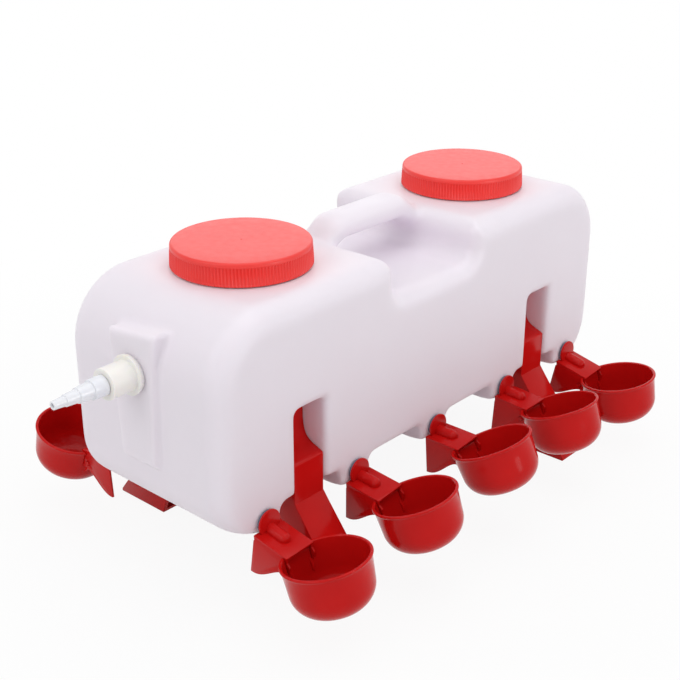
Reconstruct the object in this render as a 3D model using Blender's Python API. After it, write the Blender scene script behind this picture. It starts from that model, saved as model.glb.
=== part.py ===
"""Poultry drinker: a blow-moulded water tank on four legs, with ten tipping cups along its two sides.

The tank's long axis is X and its hose inlet points to -X. The floor is z = 0, and the origin is the
middle of the whole object's footprint. Everything is in metres.
"""
import math

import bmesh
import bpy
from mathutils import Matrix, Vector

GAP = 0.0003                 # clearance between pieces that touch
CUTTER_REACH = 0.030         # how far a cutting shape runs on past what it cuts
CUTTER_PROUD = 0.004         # the same for the flared ones, whose outer end keeps the lip's size

# tank
TANK_LENGTH = 0.520
TANK_WIDTH = 0.176
TANK_BOTTOM = 0.0660         # underside of the valve blocks above the floor
TANK_TOP = 0.2515            # top of the two humps above the floor
TANK_WALL = 0.0025
TANK_TOP_RADIUS = 0.058      # end corners seen from the side
TANK_BOTTOM_RADIUS = 0.047
TANK_SIDE_FILLET = 0.019     # rounding of both side faces into the top and the ends
UNDERSIDE_FILLET = 0.004     # the same rounding, measured along the underside's own normal

# cups, counted along one side
CUP_COUNT = 5
CUP_END = 0.0464             # from the tank's end to the axis of the first cup
BLOCK_HALF = 0.0195          # half length of the block that carries one valve
ARCH_RISE = 0.0175           # the underside's rise between two blocks
ARCH_RADIUS = 0.006
PLATE_LEVEL = 0.0735         # top of every bracket's plate above the floor
STEM_RISE = 0.0050           # axis of the threaded stem above the plate's top
NEAR_SAG_DEGREES = (10.4, 5.5, 0.0, 4.2, 13.4)   # how far each bracket droops, from the inlet end
FAR_SAG_DEGREES = (7.5, 5.5, 0.0, 4.2, 13.4)
TWIST_DEGREES = (-2.8, -6.0, -5.0, -1.2, -4.0)   # how far each is turned about its stem

# handle
RECESS_HALF = 0.056
RECESS_FLOOR = 0.2165
RECESS_CORNER = 0.014
RECESS_LIP = 0.015           # flare of the recess into the hump tops and the side faces
RECESS_BRIM = 0.0002         # the flare ends this far above the hump tops
GRIP_HALF_WIDTH = 0.018
GRIP_TOP = 0.2665
GRIP_BOTTOM = 0.2455
GRIP_REACH = 0.074           # half length of the grip bar, with the ends that run into the humps
GRIP_TOP_FALL = (0.019, 0.038, 0.036)      # how far its top sinks, from which half length, over what length
GRIP_BOTTOM_FALL = (0.014, 0.034, 0.030)   # the same for its underside
GRIP_SQUARENESS = 0.8        # exponent of its oval section: below 1 it is squarer than an ellipse

# leg slots and legs
SLOT_HALF = 0.0173
SLOT_TOP = 0.1585
SLOT_BACK = 0.056            # distance of a slot's back wall from the tank's middle plane
SLOT_CORNER = 0.004
SLOT_LIP = 0.006
LEG_WALL = 0.003
LEG_CHAMFER = 0.003          # the leg's upper corners, inside the slot's rounded ones
LEG_RECESS = 0.004           # how far a leg's face stands back from the tank's side
LEG_TOP_REACH = 0.062        # face of the leg's upper end, from the middle plane
LEG_SHOULDER = 0.108         # height where the leg's face comes out to the tank's side
LEG_SHELF = 0.010            # the S above it: a shelf, then a steeper rise to the upper end's face
LEG_RISE = 0.020
LEG_TOE = 0.1385             # outer edge of the foot, from the middle plane
LEG_HEEL = 0.080             # inner edge of the foot
FOOT_HALF = 0.0187
SOLE = 0.0026

# necks and caps
CAP_END = 0.1134             # from the tank's end to a cap's axis
CAP_RADIUS = 0.0570
CAP_FLARE = 0.0008           # extra radius at the skirt's lower edge
CAP_HEIGHT = 0.0177
CAP_WALL = 0.0024
CAP_EDGE = 0.0022
CAP_CLEARANCE = 0.0022       # height of the skirt above the hump
NECK_RADIUS = 0.0530
NECK_WALL = 0.0030
NECK_ROOT = 0.0120           # how deep a neck's tube starts, below the hump's top
LINER_THICKNESS = 0.0012
GATE_RADIUS = 0.0016

# valve bracket, measured outwards from the tank's side
GASKET_THICKNESS = 0.0020
GASKET_RADIUS = 0.0109
FLANGE_RADIUS = 0.0113
FLANGE_THICKNESS = 0.0020
STEM_RADIUS = 0.0050
STEM_LENGTH = 0.0130
STEM_BORE = 0.0030
HOLE_CLEARANCE = 0.0003
DRILL_REACH = 0.0120         # half the length of the drills through the tank's walls
PLATE_HALF = 0.01485
PLATE_LENGTH = 0.0365
PLATE_THICKNESS = 0.0020
CHANNEL_RADIUS = 0.0052
CHANNEL_LENGTH = 0.0290
CHANNEL_RISE = 0.0006
CHANNEL_BORE = 0.0018
CHANNEL_BORE_RISE = 0.0022
SIDE_WALL = 0.0020
SIDE_WALL_DROP = 0.0370
SIDE_WALL_BACK = 0.0010      # below the flange the side walls run back to just off the tank's side
SIDE_WALL_STEP = (0.0065, 0.0100)   # between these depths
PLATE_OVERHANG = 0.0002      # the plate's edges stand this far out over the side walls

# hinge and plunger
PIVOT_OUT = 0.0315
PIVOT_DROP = 0.0120
TRUNNION_RADIUS = 0.0019
TRUNNION_CLEARANCE = 0.0005
TRUNNION_PROUD = 0.0003
PLUNGER_OUT = 0.0210
SEAT_HOLE = 0.0014
PLUNGER_STEM = 0.0018
PLUNGER_COLLAR = 0.0034
COLLAR_THICKNESS = 0.0015
NEEDLE_RADIUS = 0.0008       # guides the plunger in the seat hole
NEEDLE_ENTRY = 0.0008        # how far the needle stands in the seat hole when the valve is open

# cup
CUP_RADIUS = 0.0365          # outside of the rolled rim
CUP_DEPTH = 0.0430
CUP_WALL = 0.0016
RIM_HEIGHT = 0.0022
RIM_STEP = 0.0012
CUP_TAPER = 0.0014
CUP_STRAIGHT = 0.0230        # depth at which the bowl starts to round in
CUP_FLOOR_RADIUS = 0.0135
CUP_AHEAD = 0.0364           # bowl's axis ahead of the hinge when the cup hangs level
CUP_ABOVE = 0.0089           # rim above the hinge when the cup hangs level
CUP_TILT_DEGREES = 23.5      # an empty cup's tilt, outer edge up
NOTCH_CLEARANCE = 0.0006
NOTCH_DEPTH = 0.0165         # the two slots for the bracket's side walls, below the rim
SILL_DROP = 0.0044           # the wall between them ends this far below the rim
SILL_INSET = 0.0003
NOTCH_AHEAD = 0.012          # how far the cutters of the notch run ahead of the hinge and behind it
NOTCH_BEHIND = 0.006
EAR_THICKNESS = 0.0022
EAR_CLEARANCE = 0.00045
EAR_OUTLINE = (              # (distance ahead of the hinge, height) of the web between hinge and bowl
    (-0.0030, 0.0),
    (0.0034, 0.0),
    (0.0074, -0.0090),
    (0.0072, -0.0145),
    (0.0049, -0.0145),
    (-0.0025, -0.0050),
)
TONGUE_REACH = 0.0140
TONGUE_THICKNESS = 0.0020
TONGUE_RISE_DEGREES = 12.0

# hose inlet
INLET_HEIGHT = 0.1955
PAD_OUT = 0.0045
PAD_HALF_WIDTH = 0.032
PAD_DEPTH = 0.022            # how far the pad reaches back into the end, which curves away above it
PAD_SLOPE = 0.0025
PAD_BELOW = 0.0765           # the pad's lower and upper edge, from the inlet's axis
PAD_ABOVE = 0.0355
INLET_WASHER = 0.0015
INLET_FLANGE_RADIUS = 0.0165
INLET_FLANGE = 0.0030
INLET_BODY_RADIUS = 0.0127
INLET_BODY_LENGTH = 0.0215
INLET_STEM_RADIUS = 0.0104
INLET_STEM_LENGTH = 0.0090
INLET_BORE = 0.0062
INLET_NUT_THICKNESS = 0.0060
INLET_NUT_HALF_FLATS = 0.0150
BARB_SHANK = 0.0120
BARB_BORE = 0.0018
BARB_STEPS = (                # length, radius at the root and radius at the tip of each step
    (0.0120, 0.0086, 0.0080),
    (0.0120, 0.0068, 0.0062),
    (0.0110, 0.0053, 0.0047),
    (0.0105, 0.0040, 0.0034),
)

# values that follow from the ones above
TANK_HALF = TANK_LENGTH / 2
CUP_PITCH = (TANK_LENGTH - 2 * CUP_END) / (CUP_COUNT - 1)
CAP_SPACING = TANK_LENGTH - 2 * CAP_END
PAD_LOW = INLET_HEIGHT - PAD_BELOW
PAD_HIGH = INLET_HEIGHT + PAD_ABOVE
SIDE = TANK_WIDTH / 2
BARB_LENGTH = sum(step[0] for step in BARB_STEPS)
INLET_REACH = PAD_OUT + INLET_WASHER + INLET_FLANGE + INLET_BODY_LENGTH + BARB_LENGTH + 3 * GAP
TANK_X = INLET_REACH / 2
FLANGE_BACK = GASKET_THICKNESS + 2 * GAP
PLATE_ROOT = FLANGE_BACK + FLANGE_THICKNESS / 2
CAP_TOP = TANK_TOP + CAP_CLEARANCE + CAP_HEIGHT
NECK_TOP = CAP_TOP - CAP_WALL - LINER_THICKNESS - 2 * GAP
NOTCH_HALF = PLATE_HALF + NOTCH_CLEARANCE
EAR_OUTER = PLATE_HALF - SIDE_WALL - EAR_CLEARANCE
SLOT_X = CUP_PITCH * 1.5


# materials

def material(name, colour, roughness, metallic=0.0):
    made = bpy.data.materials.new(name)
    made.use_nodes = True
    shader = made.node_tree.nodes["Principled BSDF"]
    shader.inputs["Base Color"].default_value = (*colour, 1.0)
    shader.inputs["Roughness"].default_value = roughness
    shader.inputs["Metallic"].default_value = metallic
    made.diffuse_color = (*colour, 1.0)
    return made


# mesh helpers

def mesh_from(name, points, faces):
    mesh = bpy.data.meshes.new(name)
    mesh.from_pydata([tuple(p) for p in points], [], faces)
    mesh.update()
    work = bmesh.new()
    work.from_mesh(mesh)
    bmesh.ops.recalc_face_normals(work, faces=work.faces)
    work.to_mesh(mesh)
    work.free()
    return mesh


def loft(rings):
    """A closed solid through rings of equally many points, with a flat face on the first and the last."""
    count = len(rings[0])
    points = [p for ring in rings for p in ring]
    faces = [tuple(range(count)), tuple(range(len(points) - count, len(points)))]
    for r in range(len(rings) - 1):
        for i in range(count):
            j = (i + 1) % count
            faces.append((r * count + i, r * count + j, (r + 1) * count + j, (r + 1) * count + i))
    return mesh_from("loft", points, faces)


def turned(profile, segments):
    """Turn a profile of (radius, height) about Z. It is closed, or it starts and ends on the axis."""
    open_profile = profile[0][0] == 0 and profile[-1][0] == 0
    points = []
    index = []
    for radius, height in profile:
        if radius == 0:
            index.append([len(points)] * segments)
            points.append((0, 0, height))
            continue
        index.append([len(points) + k for k in range(segments)])
        for k in range(segments):
            angle = 2 * math.pi * k / segments
            points.append((radius * math.cos(angle), radius * math.sin(angle), height))
    bands = len(profile) - 1 if open_profile else len(profile)
    faces = []
    for b in range(bands):
        low, high = index[b], index[(b + 1) % len(profile)]
        for k in range(segments):
            n = (k + 1) % segments
            corners = [low[k], low[n], high[n], high[k]]
            faces.append(tuple(dict.fromkeys(corners)))
    return mesh_from("turned", points, faces)


def rod(radius, start, end, segments):
    """A plain cylinder along Z."""
    return turned([(0, start), (radius, start), (radius, end), (0, end)], segments)


def tube(outer, inner, start, end, segments):
    return turned([(outer, start), (outer, end), (inner, end), (inner, start)], segments)


def block(low, high):
    (x0, y0, z0), (x1, y1, z1) = low, high
    ring = [(x0, y0), (x1, y0), (x1, y1), (x0, y1)]
    return loft([[(x, y, z) for x, y in ring] for z in (z0, z1)])


def moved(mesh, matrix):
    copy = mesh.copy()
    copy.transform(matrix)
    return copy


def combine(mesh, *steps):
    """Apply each (operation, operand mesh) to a mesh in turn."""
    base = bpy.data.objects.new("base", mesh)
    helpers = [base]
    for operation, operand in steps:
        helper = bpy.data.objects.new("operand", operand)
        modifier = base.modifiers.new(operation.lower(), "BOOLEAN")
        modifier.operation = operation
        modifier.solver = "EXACT"
        modifier.object = helper
        helpers.append(helper)
    for helper in helpers:
        bpy.context.collection.objects.link(helper)
    graph = bpy.context.evaluated_depsgraph_get()
    result = bpy.data.meshes.new_from_object(base.evaluated_get(graph))
    for helper in helpers:
        bpy.data.objects.remove(helper)
    return result


def cut(mesh, *operands):
    return combine(mesh, *[("DIFFERENCE", operand) for operand in operands])


def join(mesh, *operands):
    return combine(mesh, *[("UNION", operand) for operand in operands])


def offset_corners(corners, distances):
    """Move each edge of a counter-clockwise outline inwards. A corner is (x, z, radius)."""
    moved_corners = []
    for i, (x, z, radius) in enumerate(corners):
        before = corners[i - 1]
        after = corners[(i + 1) % len(corners)]
        along_in = Vector((x - before[0], z - before[1])).normalized()
        along_out = Vector((after[0] - x, after[1] - z)).normalized()
        inset_in = distances[i - 1]
        inset_out = distances[i]
        start = Vector((x, z)) + inset_in * Vector((-along_in.y, along_in.x))
        goal = Vector((x, z)) + inset_out * Vector((-along_out.y, along_out.x))
        turn = along_in.cross(along_out)
        place = start + along_in * ((goal - start).cross(along_out) / turn)
        change = (inset_in + inset_out) / 2
        new_radius = radius - change if turn > 0 else radius + change
        moved_corners.append((place.x, place.y, max(new_radius, 0.0004)))
    return moved_corners


def rounded(corners, pieces):
    """The points of an outline whose corners are arcs; pieces is the number of chords for each corner."""
    points = []
    for i, (x, z, radius) in enumerate(corners):
        before = corners[i - 1]
        after = corners[(i + 1) % len(corners)]
        along_in = Vector((x - before[0], z - before[1])).normalized()
        along_out = Vector((after[0] - x, after[1] - z)).normalized()
        turn = math.atan2(along_in.cross(along_out), along_in.dot(along_out))
        reach = radius * math.tan(abs(turn) / 2)
        start = Vector((x, z)) - along_in * reach
        side = math.copysign(1.0, turn)
        centre = start + radius * side * Vector((-along_in.y, along_in.x))
        arm = start - centre
        for k in range(pieces[i] + 1):
            angle = turn * k / pieces[i]
            points.append(centre + Matrix.Rotation(angle, 2) @ arm)
    return points


def smooth(t):
    t = min(max(t, 0.0), 1.0)
    return t * t * (3 - 2 * t)


# tank

def tank_corners():
    """The tank's side outline, counter-clockwise from the lower left, its chords and its side fillets."""
    corners = [(-TANK_HALF, TANK_BOTTOM, TANK_BOTTOM_RADIUS)]
    pieces = [4]
    for k in range(CUP_COUNT - 1):
        left = CUP_PITCH * (k - (CUP_COUNT - 1) / 2) + BLOCK_HALF
        right = left + CUP_PITCH - 2 * BLOCK_HALF
        for x, z in ((left, 0), (left, ARCH_RISE), (right, ARCH_RISE), (right, 0)):
            corners.append((x, TANK_BOTTOM + z, ARCH_RADIUS))
            pieces.append(2)
    underside = len(corners)
    corners += [(TANK_HALF, TANK_BOTTOM, TANK_BOTTOM_RADIUS)]
    corners += [(TANK_HALF, TANK_TOP, TANK_TOP_RADIUS), (-TANK_HALF, TANK_TOP, TANK_TOP_RADIUS)]
    pieces += [4, 6, 6]
    fillets = [UNDERSIDE_FILLET if i < underside else TANK_SIDE_FILLET for i in range(len(corners))]
    return corners, pieces, fillets


def tank_body(inset):
    corners, pieces, fillets = tank_corners()
    half = SIDE - inset
    steps = 3
    rings = []
    for side in (-1, 1):
        order = range(steps + 1) if side < 0 else range(steps, -1, -1)
        for k in order:
            angle = math.pi / 2 * k / steps
            y = half - (TANK_SIDE_FILLET - inset) * (1 - math.cos(angle))
            share = (1 - math.sin(angle)) * (TANK_SIDE_FILLET - inset) / TANK_SIDE_FILLET
            distances = [inset + share * fillet for fillet in fillets]
            outline = rounded(offset_corners(corners, distances), pieces)
            rings.append([(p.x, side * y, p.y) for p in outline])
    return loft(rings)


def flared(corners, pieces, stations, edges):
    """Loft an outline along Y; a station is (y, how far the listed edges of the outline move out there)."""
    rings = []
    for y, growth in stations:
        distances = [-growth if i in edges else 0.0 for i in range(len(corners))]
        outline = rounded(offset_corners(corners, distances), pieces)
        rings.append([(p.x, y, p.y) for p in outline])
    return loft(rings)


def lip_stations(face, lip):
    """Stations from a side face inwards that round the edge of an opening outwards."""
    stations = [(face + CUTTER_PROUD, lip), (face, lip)]
    steps = 2
    for k in range(1, steps + 1):
        angle = math.pi / 2 * k / steps
        stations.append((face - lip * (1 - math.cos(angle)), lip * (1 - math.sin(angle))))
    return stations


def recess(inset):
    """The handle's recess, open upwards, with wings just above the humps that round its upper edges."""
    above = TANK_TOP + CUTTER_REACH
    wide = RECESS_HALF + CUTTER_REACH
    brim = TANK_TOP + RECESS_BRIM
    corners = [
        (-RECESS_HALF, RECESS_FLOOR, RECESS_CORNER),
        (RECESS_HALF, RECESS_FLOOR, RECESS_CORNER),
        (RECESS_HALF, brim, RECESS_LIP),
        (wide, brim, 0.001),
        (wide, above, 0.001),
        (-wide, above, 0.001),
        (-wide, brim, 0.001),
        (-RECESS_HALF, brim, RECESS_LIP),
    ]
    pieces = [3, 3, 3, 1, 1, 1, 1, 3]
    grown = offset_corners(corners, [-inset] * len(corners))
    right = lip_stations(SIDE - inset, RECESS_LIP - inset)
    left = [(-y, growth) for y, growth in right]
    return flared(grown, pieces, left + right[::-1], (0, 1, 7))


def fall(x, shape):
    """How far an edge of the grip bar has sunk at x, from a (depth, start, length) shape."""
    depth, start, length = shape
    return depth * smooth((x - start) / length)


def grip(inset):
    """The grip bar: an oval section swept along X that swells down into the humps at both ends."""
    rings = []
    stations = 12
    around = 12
    for k in range(stations + 1):
        x = GRIP_REACH * (2 * k / stations - 1)
        top = GRIP_TOP - fall(abs(x), GRIP_TOP_FALL) - inset
        bottom = GRIP_BOTTOM - fall(abs(x), GRIP_BOTTOM_FALL) + inset
        width = GRIP_HALF_WIDTH - inset
        ring = []
        for n in range(around):
            angle = 2 * math.pi * n / around
            c, s = math.cos(angle), math.sin(angle)
            y = width * math.copysign(abs(c) ** GRIP_SQUARENESS, c)
            z = (top + bottom) / 2 + (top - bottom) / 2 * math.copysign(abs(s) ** GRIP_SQUARENESS, s)
            ring.append((x, y, z))
        rings.append(ring)
    return loft(rings)


def slot(x, side, inset):
    low = TANK_BOTTOM - CUTTER_REACH
    corners = [
        (x - SLOT_HALF, low, 0.001),
        (x + SLOT_HALF, low, 0.001),
        (x + SLOT_HALF, SLOT_TOP, SLOT_CORNER),
        (x - SLOT_HALF, SLOT_TOP, SLOT_CORNER),
    ]
    grown = offset_corners(corners, [-inset] * len(corners))
    stations = lip_stations(SIDE - inset, SLOT_LIP - inset) + [(SLOT_BACK - inset, 0)]
    return flared(grown, [1, 1, 2, 2], [(side * y, growth) for y, growth in stations], (0, 1, 2, 3))


def tank_form(inset):
    """The tank's outer shape, or with an inset the cavity inside its wall."""
    slots = [slot(side_x * SLOT_X, side, inset) for side_x in (-1, 1) for side in (-1, 1)]
    body = cut(tank_body(inset), recess(inset), *slots)
    neck = NECK_RADIUS if inset == 0 else NECK_RADIUS - NECK_WALL
    neck_top = NECK_TOP if inset == 0 else NECK_TOP + CUTTER_PROUD
    necks = [
        moved(rod(neck, TANK_TOP - NECK_ROOT, neck_top, 28), Matrix.Translation((x * CAP_SPACING / 2, 0, 0)))
        for x in (-1, 1)
    ]
    return join(body, grip(inset), end_pad(inset), *necks)


def end_pad(inset):
    """The raised pad on the inlet end, with sloped edges; it starts inside, where the end curves away."""
    rings = []
    stations = ((2 * inset - PAD_DEPTH, 0.0), (PAD_OUT * 0.5, 0.0), (PAD_OUT, PAD_SLOPE))
    for out, slope in stations:
        x = inset - TANK_HALF - out
        half = PAD_HALF_WIDTH - slope - inset
        low, high = PAD_LOW + slope + inset, PAD_HIGH - slope - inset
        rings.append([(x, -half, low), (x, half, low), (x, half, high), (x, -half, high)])
    return loft(rings)


def tank_mesh():
    hole = rod(STEM_RADIUS + HOLE_CLEARANCE, -DRILL_REACH, DRILL_REACH, 14)
    drills = [moved(hole, cup_frame(side, k) @ STEM_AXIS) for side in (-1, 1) for k in range(CUP_COUNT)]
    inlet = moved(rod(INLET_STEM_RADIUS + HOLE_CLEARANCE, -DRILL_REACH, DRILL_REACH, 18), INLET_AXIS)
    whole = cut(tank_form(0), tank_form(TANK_WALL), inlet, *drills)
    return moved(whole, Matrix.Translation((TANK_X, 0, 0)))


# frames: a cup's own frame has its origin at the tank's side, -Y outwards and z = 0 at the plate's top

def cup_frame(side, k):
    """Where a bracket's stem and flange sit, relative to the tank's middle; side is -1 near, +1 far."""
    x = CUP_PITCH * (k - (CUP_COUNT - 1) / 2)
    place = Matrix.Translation((x, side * SIDE, PLATE_LEVEL + STEM_RISE))
    facing = Matrix.Rotation(0 if side < 0 else math.pi, 4, "Z")
    twist = Matrix.Rotation(math.radians(TWIST_DEGREES[k]), 4, "Y")
    return place @ facing @ twist @ Matrix.Translation((0, 0, -STEM_RISE))


def sag(side, k):
    """The droop of the plate and all that hangs on it, about its root at the flange."""
    degrees = NEAR_SAG_DEGREES[k] if side < 0 else FAR_SAG_DEGREES[k]
    return Matrix.Rotation(math.radians(degrees), 4, "X")


STEM_AXIS = Matrix.Translation((0, 0, STEM_RISE)) @ Matrix.Rotation(math.pi / 2, 4, "X")
INLET_AXIS = Matrix.Translation((-TANK_HALF, 0, INLET_HEIGHT)) @ Matrix.Rotation(-math.pi / 2, 4, "Y")
ACROSS = Matrix.Rotation(math.pi / 2, 4, "Y")
PIVOT = Matrix.Translation((0, -PIVOT_OUT, -PIVOT_DROP))


# bracket

def side_wall_outline():
    """One side wall from the side, as (distance out, height), with the S-shaped lower edge."""
    start, end = PLATE_ROOT + PLATE_OVERHANG, PLATE_LENGTH - PLATE_OVERHANG
    out = [(start, -0.0005), (start, -SIDE_WALL_STEP[0]), (SIDE_WALL_BACK, -SIDE_WALL_STEP[1])]
    out.append((SIDE_WALL_BACK, -SIDE_WALL_DROP))
    heel, toe = -SIDE_WALL_DROP, -PIVOT_DROP - 0.0040
    steps = 4
    for k in range(1, steps + 1):
        t = k / steps
        reach = start + t * (end - start)
        out.append((reach, heel + (toe - heel) * smooth(t ** 1.15)))
    out.append((end, -0.0005))
    return out


def extruded(outline, x0, x1):
    """Extrude an outline of (distance out, height) across X."""
    return loft([[(x, -u, z) for u, z in outline] for x in (x0, x1)])


def bracket_mesh(lean):
    """Flange, stem, plate, channel and side walls; only the plate and what hangs on it sags."""
    walls = []
    pin_hole = moved(rod(TRUNNION_RADIUS + TRUNNION_CLEARANCE, -CUTTER_REACH, CUTTER_REACH, 8), PIVOT @ ACROSS)
    inside, outside = PLATE_HALF - SIDE_WALL, PLATE_HALF - PLATE_OVERHANG
    for x0, x1 in ((-outside, -inside), (inside, outside)):
        walls.append(cut(extruded(side_wall_outline(), x0, x1), pin_hole))
    plate = block((-PLATE_HALF, -PLATE_LENGTH, -PLATE_THICKNESS), (PLATE_HALF, -PLATE_ROOT, 0))
    start, shoulder = PLATE_ROOT + PLATE_OVERHANG, CHANNEL_LENGTH - CHANNEL_RADIUS
    profile = [(0, start), (CHANNEL_RADIUS, start), (CHANNEL_RADIUS, shoulder)]
    for n in range(1, 3):
        angle = math.pi / 2 * n / 3
        profile.append((CHANNEL_RADIUS * math.cos(angle), shoulder + CHANNEL_RADIUS * math.sin(angle)))
    profile.append((0, CHANNEL_LENGTH))
    axis = Matrix.Translation((0, 0, CHANNEL_RISE)) @ Matrix.Rotation(math.pi / 2, 4, "X")
    channel = moved(turned(profile, 12), axis)
    half = PLATE_HALF
    below = block((-half, -PLATE_LENGTH, -CUTTER_REACH), (half, 0, -PLATE_THICKNESS / 2))
    channel = cut(channel, below)
    arm = join(plate, channel, *walls)
    flange = turned(
        [
            (0, -STEM_LENGTH),
            (STEM_RADIUS, -STEM_LENGTH),
            (STEM_RADIUS, FLANGE_BACK),
            (FLANGE_RADIUS, FLANGE_BACK),
            (FLANGE_RADIUS, FLANGE_BACK + FLANGE_THICKNESS),
            (0, FLANGE_BACK + FLANGE_THICKNESS),
        ],
        14,
    )
    whole = join(moved(arm, lean), moved(flange, STEM_AXIS))
    bore = moved(rod(STEM_BORE, -STEM_LENGTH - 0.001, FLANGE_BACK + 0.0015, 6), STEM_AXIS)
    lift = Matrix.Translation((0, 0, CHANNEL_BORE_RISE - CHANNEL_RISE))
    way = moved(rod(CHANNEL_BORE, FLANGE_BACK + 0.0006, CHANNEL_LENGTH - 0.004, 6), lean @ lift @ axis)
    seat = moved(rod(SEAT_HOLE, -0.004, CHANNEL_BORE_RISE, 6), lean @ Matrix.Translation((0, -PLUNGER_OUT, 0)))
    return cut(whole, bore, way, seat)


# cup

def cup_mesh():
    """The cup hanging level, with its hinge at the origin."""
    wall_top = CUP_RADIUS - RIM_STEP
    low = wall_top - CUP_TAPER
    floor = CUP_DEPTH - CUP_STRAIGHT
    arc = [math.pi / 2 * k / 3 for k in range(4)]
    outside = [(CUP_RADIUS, 0), (CUP_RADIUS, -RIM_HEIGHT), (wall_top, -RIM_HEIGHT)]
    for angle in arc:
        reach = CUP_FLOOR_RADIUS + (low - CUP_FLOOR_RADIUS) * math.cos(angle)
        outside.append((reach, -CUP_STRAIGHT - floor * math.sin(angle)))
    inside = []
    for angle in reversed(arc):
        reach = CUP_FLOOR_RADIUS + (low - CUP_WALL - CUP_FLOOR_RADIUS) * math.cos(angle)
        inside.append((reach, -CUP_STRAIGHT - (floor - CUP_WALL) * math.sin(angle)))
    inside.append((wall_top - CUP_WALL, 0))
    profile = [(0, -CUP_DEPTH)] + outside[::-1] + inside[::-1] + [(0, CUP_WALL - CUP_DEPTH)]
    bowl = turned(profile, 18)
    bowl = moved(bowl, Matrix.Translation((0, -CUP_AHEAD, CUP_ABOVE)))
    sill_half = EAR_OUTER - SILL_INSET
    notches = [
        block((low, -NOTCH_AHEAD, CUP_ABOVE - drop), (high, NOTCH_BEHIND, CUP_ABOVE + CUTTER_PROUD))
        for low, high, drop in (
            (-NOTCH_HALF, NOTCH_HALF, SILL_DROP),
            (-NOTCH_HALF, -sill_half, NOTCH_DEPTH),
            (sill_half, NOTCH_HALF, NOTCH_DEPTH),
        )
    ]
    bowl = cut(bowl, *notches)
    ears = [
        extruded(EAR_OUTLINE, EAR_OUTER - EAR_THICKNESS, EAR_OUTER),
        extruded(EAR_OUTLINE, -EAR_OUTER, EAR_THICKNESS - EAR_OUTER),
    ]
    half = TONGUE_THICKNESS / 2
    tongue = block((-EAR_OUTER, -TRUNNION_RADIUS, -half), (EAR_OUTER, TONGUE_REACH, half))
    tongue = moved(tongue, Matrix.Rotation(math.radians(TONGUE_RISE_DEGREES), 4, "X"))
    reach = PLATE_HALF + TRUNNION_PROUD
    trunnions = moved(rod(TRUNNION_RADIUS, -reach, reach, 8), ACROSS)
    return join(bowl, trunnions, tongue, *ears)


# plunger, below the plate at its own origin

def plunger_heights():
    """Tip, collar top and stem top below the plate's top when the cup is empty."""
    angle = math.radians(TONGUE_RISE_DEGREES - CUP_TILT_DEGREES)
    arm = PIVOT_OUT - PLUNGER_OUT
    tongue_top = -PIVOT_DROP + arm * math.tan(angle) + TONGUE_THICKNESS / 2 / math.cos(angle)
    tip = tongue_top + GAP * 1.5
    shut = arm * (math.tan(math.radians(TONGUE_RISE_DEGREES)) - math.tan(angle))
    stem_top = -PLATE_THICKNESS - GAP - shut
    return tip, tip + COLLAR_THICKNESS, stem_top


def plunger_mesh():
    tip, collar_top, stem_top = plunger_heights()
    profile = [
        (0, tip),
        (PLUNGER_COLLAR * 0.35, tip),
        (PLUNGER_COLLAR, tip + COLLAR_THICKNESS * 0.55),
        (PLUNGER_COLLAR, collar_top),
        (PLUNGER_STEM, collar_top),
        (PLUNGER_STEM, stem_top),
        (NEEDLE_RADIUS, stem_top),
        (NEEDLE_RADIUS, NEEDLE_ENTRY - PLATE_THICKNESS),
        (0, NEEDLE_ENTRY - PLATE_THICKNESS),
    ]
    return turned(profile, 8)


# small parts

def gasket_mesh():
    return tube(GASKET_RADIUS, STEM_RADIUS + GAP * 2, GAP, GAP + GASKET_THICKNESS, 14)


def leg_face():
    """The leg's outer face from the side, as (distance from the middle plane, height), top to toe."""
    top = SLOT_TOP - GAP
    flush = SIDE - LEG_RECESS
    face = [(LEG_TOP_REACH, top)]
    steps = 8
    for k in range(steps + 1):
        t = 1 - k / steps
        reach = flush + (LEG_TOP_REACH - flush) * smooth(t)
        face.append((reach, LEG_SHOULDER + LEG_SHELF * t + LEG_RISE * t ** 6))
    knee = PLATE_LEVEL + 0.001
    face.append((flush, knee))
    face.append((flush + (LEG_TOE - flush) * (knee - TANK_BOTTOM) / (knee - SOLE), TANK_BOTTOM))
    face.append((LEG_TOE, SOLE))
    return face


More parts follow.
